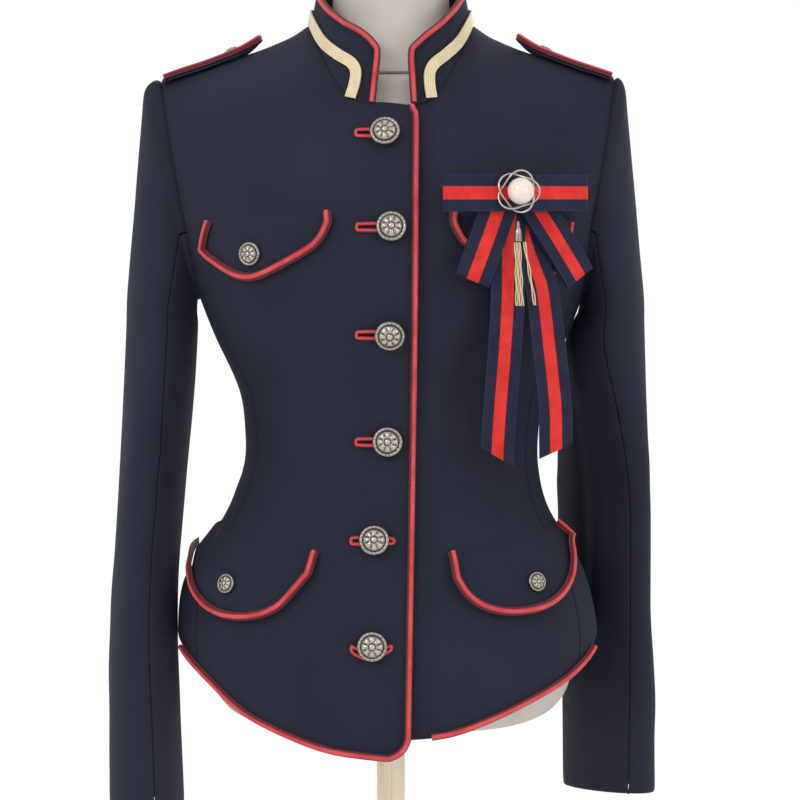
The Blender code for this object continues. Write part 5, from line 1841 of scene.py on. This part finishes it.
# The tassel's cap, from its top to its underside
TASSEL_CAP = table(
    "out up",
    (0, 0.0160),
    (0.0008, 0.0158),
    (0.0011, 0.0150),
    (0.0013, 0.0130),
    (0.0013, 0.0110),
    (0.0018, 0.0102),
    (0.0024, 0.0085),
    (0.0028, 0.0060),
    (0.0031, 0.0030),
    (0.0031, 0),
    (0.0020, 0),
    (0, 0),
)
# Where each bundle of the tassel's strands starts and ends below the cap, how many strands it
# has and how wide they lie
TASSEL = {
    "tassel_chain": ((-0.0004, 0, -0.0005), (0.0014, 0.0040, -0.0505), 6, 0.0054),
    "tassel_thread": ((0.0049, 0, -0.0005), (0.0135, 0.0040, -0.0500), 2, 0.0013),
}
STRAND_RADIUS = 0.00075
STRAND_WAVE = 0.00035
STRAND_POINTS = 24


def forwards(_):
    return Vector((0, -1, 0))


def fluted(out, angle):
    return 0.05 * abs(math.cos(5 * angle)) if out > 0.5 else 0.0


def add_brooch():
    """Interlaced wire rings with a pearl in front, and a tassel of two strands."""
    points = []
    for i in range(WIRE_POINTS):
        angle = 2 * math.pi * i / WIRE_POINTS
        reach = WIRE_MIDDLE + WIRE_SWING * math.cos(WIRE_WAVES * angle)
        across = reach * math.cos(WIRE_TURNS * angle)
        up = reach * math.sin(WIRE_TURNS * angle)
        forward = WIRE_DEPTH * math.sin(WIRE_WAVES * angle)
        points.append(BROOCH + Vector((across, -forward, up)))
    wire = circle_section(10)
    add_cord("brooch_wire", "silver", points, WIRE_RADIUS, wire, out=forwards, closed=True, finer=2)

    pearl = bmesh.new()
    bmesh.ops.create_uvsphere(pearl, u_segments=48, v_segments=32, radius=PEARL_RADIUS)
    bmesh.ops.translate(pearl, verts=pearl.verts[:], vec=BROOCH + PEARL_PLACE)
    finish_mesh("brooch_pearl", pearl, "pearl", sharp_from=180)

    cap = list(zip(TASSEL_CAP["out"], TASSEL_CAP["up"]))
    hung = BROOCH + Vector((0, 0.0034, -CAP_DROP))
    add_turned("tassel_cap", "silver", cap, 32, hung, relief=fluted)
    for node, (start, end, strands, spread) in TASSEL.items():
        shape = bmesh.new()
        shape.loops.layers.uv.new("cut")
        for i in range(strands):
            aside = spread * (i / (strands - 1) - 0.5)
            wave = STRAND_WAVE * (1 if i % 2 else -1)
            points = []
            for k in range(STRAND_POINTS + 1):
                share = k / STRAND_POINTS
                point = hung + Vector(start).lerp(Vector(end), share)
                side = aside * (0.75 + 0.25 * share) + wave * math.sin(5 * math.pi * share + i)
                deep = STRAND_WAVE * math.cos(4 * math.pi * share + 2 * i)
                points.append(point + Vector((side, deep, 0)))
            add_tube(
                shape, points, STRAND_RADIUS, circle_section(6), out=forwards, finer=3, bead=0.35
            )
        finish_mesh(node, shape, "pearl", sharp_from=180)


# ---------------------------------------------------------------- dress form and stand


def add_lofted(name, rows, segments, rings):
    """A closed, rounded body whose level sections follow a table, with its ends closed."""
    shape = bmesh.new()
    bmesh.ops.create_uvsphere(shape, u_segments=segments, v_segments=rings, radius=1)
    for vert in shape.verts:
        share = math.acos(max(min(-vert.co.z, 1), -1)) / math.pi
        at = share * (len(rows["z"]) - 1)
        out = Vector((vert.co.x, vert.co.y, 0))
        out = out.normalized() if out.length > 1e-6 else out * 0
        depth = at_row(rows["back" if out.y > 0 else "front"], at)
        vert.co = (out.x * at_row(rows["wide"], at), out.y * depth, at_row(rows["z"], at))
    return finish_mesh(name, shape, "form_cloth", sharp_from=60)


def add_form():
    closed = {name: column + [column[-1] if name == "z" else 0.0] for name, column in FORM.items()}
    closed["z"][-1] = FORM["z"][-1] + 0.00005
    add_lofted("form_torso", closed, 96, 4 * (len(closed["z"]) - 1))
    add_lofted("form_neck", FORM_NECK, 80, 5 * (len(FORM_NECK["z"]) - 1))


BASE_EDGE = 0.0030  # how far the base's top edge is rounded off
POLE_BOTTOM = FOOT_TOP + 0.0003
GROOVE_HALF_WIDTH, GROOVE_DEPTH = 0.0009, 0.0007  # the seam down the front of the pole


def add_stand():
    edge = BASE_EDGE
    profile = [
        (0, FOOT_TOP),
        (POLE_RADIUS + 0.002, FOOT_TOP),
        (FOOT_RADIUS, FOOT_TOP - 0.004),
        (FOOT_RADIUS, BASE_HEIGHT),
        (BASE_RADIUS - edge, BASE_HEIGHT),
        (BASE_RADIUS - edge * 0.3, BASE_HEIGHT - edge * 0.3),
        (BASE_RADIUS, BASE_HEIGHT - edge),
        (BASE_RADIUS, 0.0010),
        (BASE_RADIUS - 0.0010, 0),
        (0, 0),
    ]
    add_turned("stand_base", "stand_metal", profile, 128)
    pole = bmesh.new()

    def place(u, v):
        angle = 2 * math.pi * (u - 0.25)
        away = abs((u + 0.5) % 1 - 0.5) * 2 * math.pi * POLE_RADIUS
        radius = POLE_RADIUS - GROOVE_DEPTH * max(1 - away / GROOVE_HALF_WIDTH, 0)
        z = mix(POLE_BOTTOM, POLE_TOP, v)
        return Vector((radius * math.cos(angle), radius * math.sin(angle), z))

    add_grid(pole, 96, 24, place)
    bmesh.ops.remove_doubles(pole, verts=pole.verts[:], dist=MERGE_WITHIN)
    close_ends(pole)
    finish_mesh("stand_pole", pole, "stand_metal", sharp_from=40)


# ---------------------------------------------------------------- floor, light and camera

FLOOR_RADIUS = 1.2
CAMERA_AT = (0.0074, -3.0, 0.57)
FRAME_WIDTH = 0.656  # what the camera sees across at the jacket's middle
SENSOR = 36.0
LIT_AT = (0, 0, 0.6)  # what the lamps face
LAMPS = {  # place, size, power and colour
    "key": ((-1.3, -2.0, 1.7), 0.9, 13, (1.0, 0.985, 0.96)),
    "fill": ((1.7, -1.6, 1.0), 1.2, 5, (0.96, 0.98, 1.0)),
    "behind": ((0.6, 1.6, 1.6), 1.0, 8, (1, 1, 1)),
}


def add_floor():
    shape = bmesh.new()
    bmesh.ops.create_circle(shape, cap_ends=True, segments=96, radius=FLOOR_RADIUS)
    mesh = bpy.data.meshes.new("floor")
    shape.to_mesh(mesh)
    shape.free()
    mesh.materials.append(MATERIALS["pale_floor"])
    put_in_scene("floor", mesh)


def add_lamp(name, at, size, power, colour):
    lamp = bpy.data.lights.new(name, "AREA")
    lamp.shape = "DISK"
    lamp.size = size
    lamp.energy = power
    lamp.color = colour
    made = put_in_scene(name, lamp)
    made.location = at
    made.rotation_euler = (Vector(LIT_AT) - Vector(at)).to_track_quat("-Z", "Y").to_euler()


def add_lights():
    world = bpy.data.worlds.new("studio")
    world.use_nodes = True
    background = world.node_tree.nodes["Background"]
    background.inputs["Color"].default_value = (1, 1, 1, 1)
    background.inputs["Strength"].default_value = 1.0
    bpy.context.scene.world = world
    for name, lamp in LAMPS.items():
        add_lamp(name, *lamp)


def add_camera():
    lens = bpy.data.cameras.new("camera")
    lens.sensor_width = SENSOR
    lens.lens = SENSOR * -CAMERA_AT[1] / FRAME_WIDTH
    camera = put_in_scene("camera", lens)
    camera.location = CAMERA_AT
    camera.rotation_euler = (math.pi / 2, 0, 0)
    bpy.context.scene.camera = camera


# ---------------------------------------------------------------- the whole object


def add_panels():
    columns = LAP_COLUMNS + FRONT_COLUMNS
    add_sheet("front_right", "navy_wool", columns, PANEL_ROWS, right_front_place)
    add_sheet("front_left", "navy_wool", columns, PANEL_ROWS, left_front_place)
    for side, word in SIDES:
        add_sheet(f"side_{word}", "navy_wool", across=6, rows=12, place=side_place(side))
        add_sheet(f"back_{word}", "navy_wool", BACK_COLUMNS, PANEL_ROWS, back_place(side))


def add_jacket():
    add_panels()
    add_sleeves()
    add_sheet("collar", "navy_wool", across=32, rows=3, place=collar_place, held="stretched")
    # The braid is a trim of under 10 mm
    finer = {"finer": (8, 4), "levels": 0}
    add_sheet("collar_braid", "gold_braid", 1, 42, braid_place, BRAID_THICKNESS, None, **finer)
    add_collar_piping()
    add_front_piping()
    for side, word in SIDES:
        add_strap(side, word)
        for kind in ("chest", "hip"):
            add_flap(kind, side, word)
    add_front_buttons()
    add_bow()
    add_brooch()


add_floor()
add_lights()
add_camera()
add_jacket()
add_form()
add_stand()
bpy.context.scene.view_settings.view_transform = "Standard"
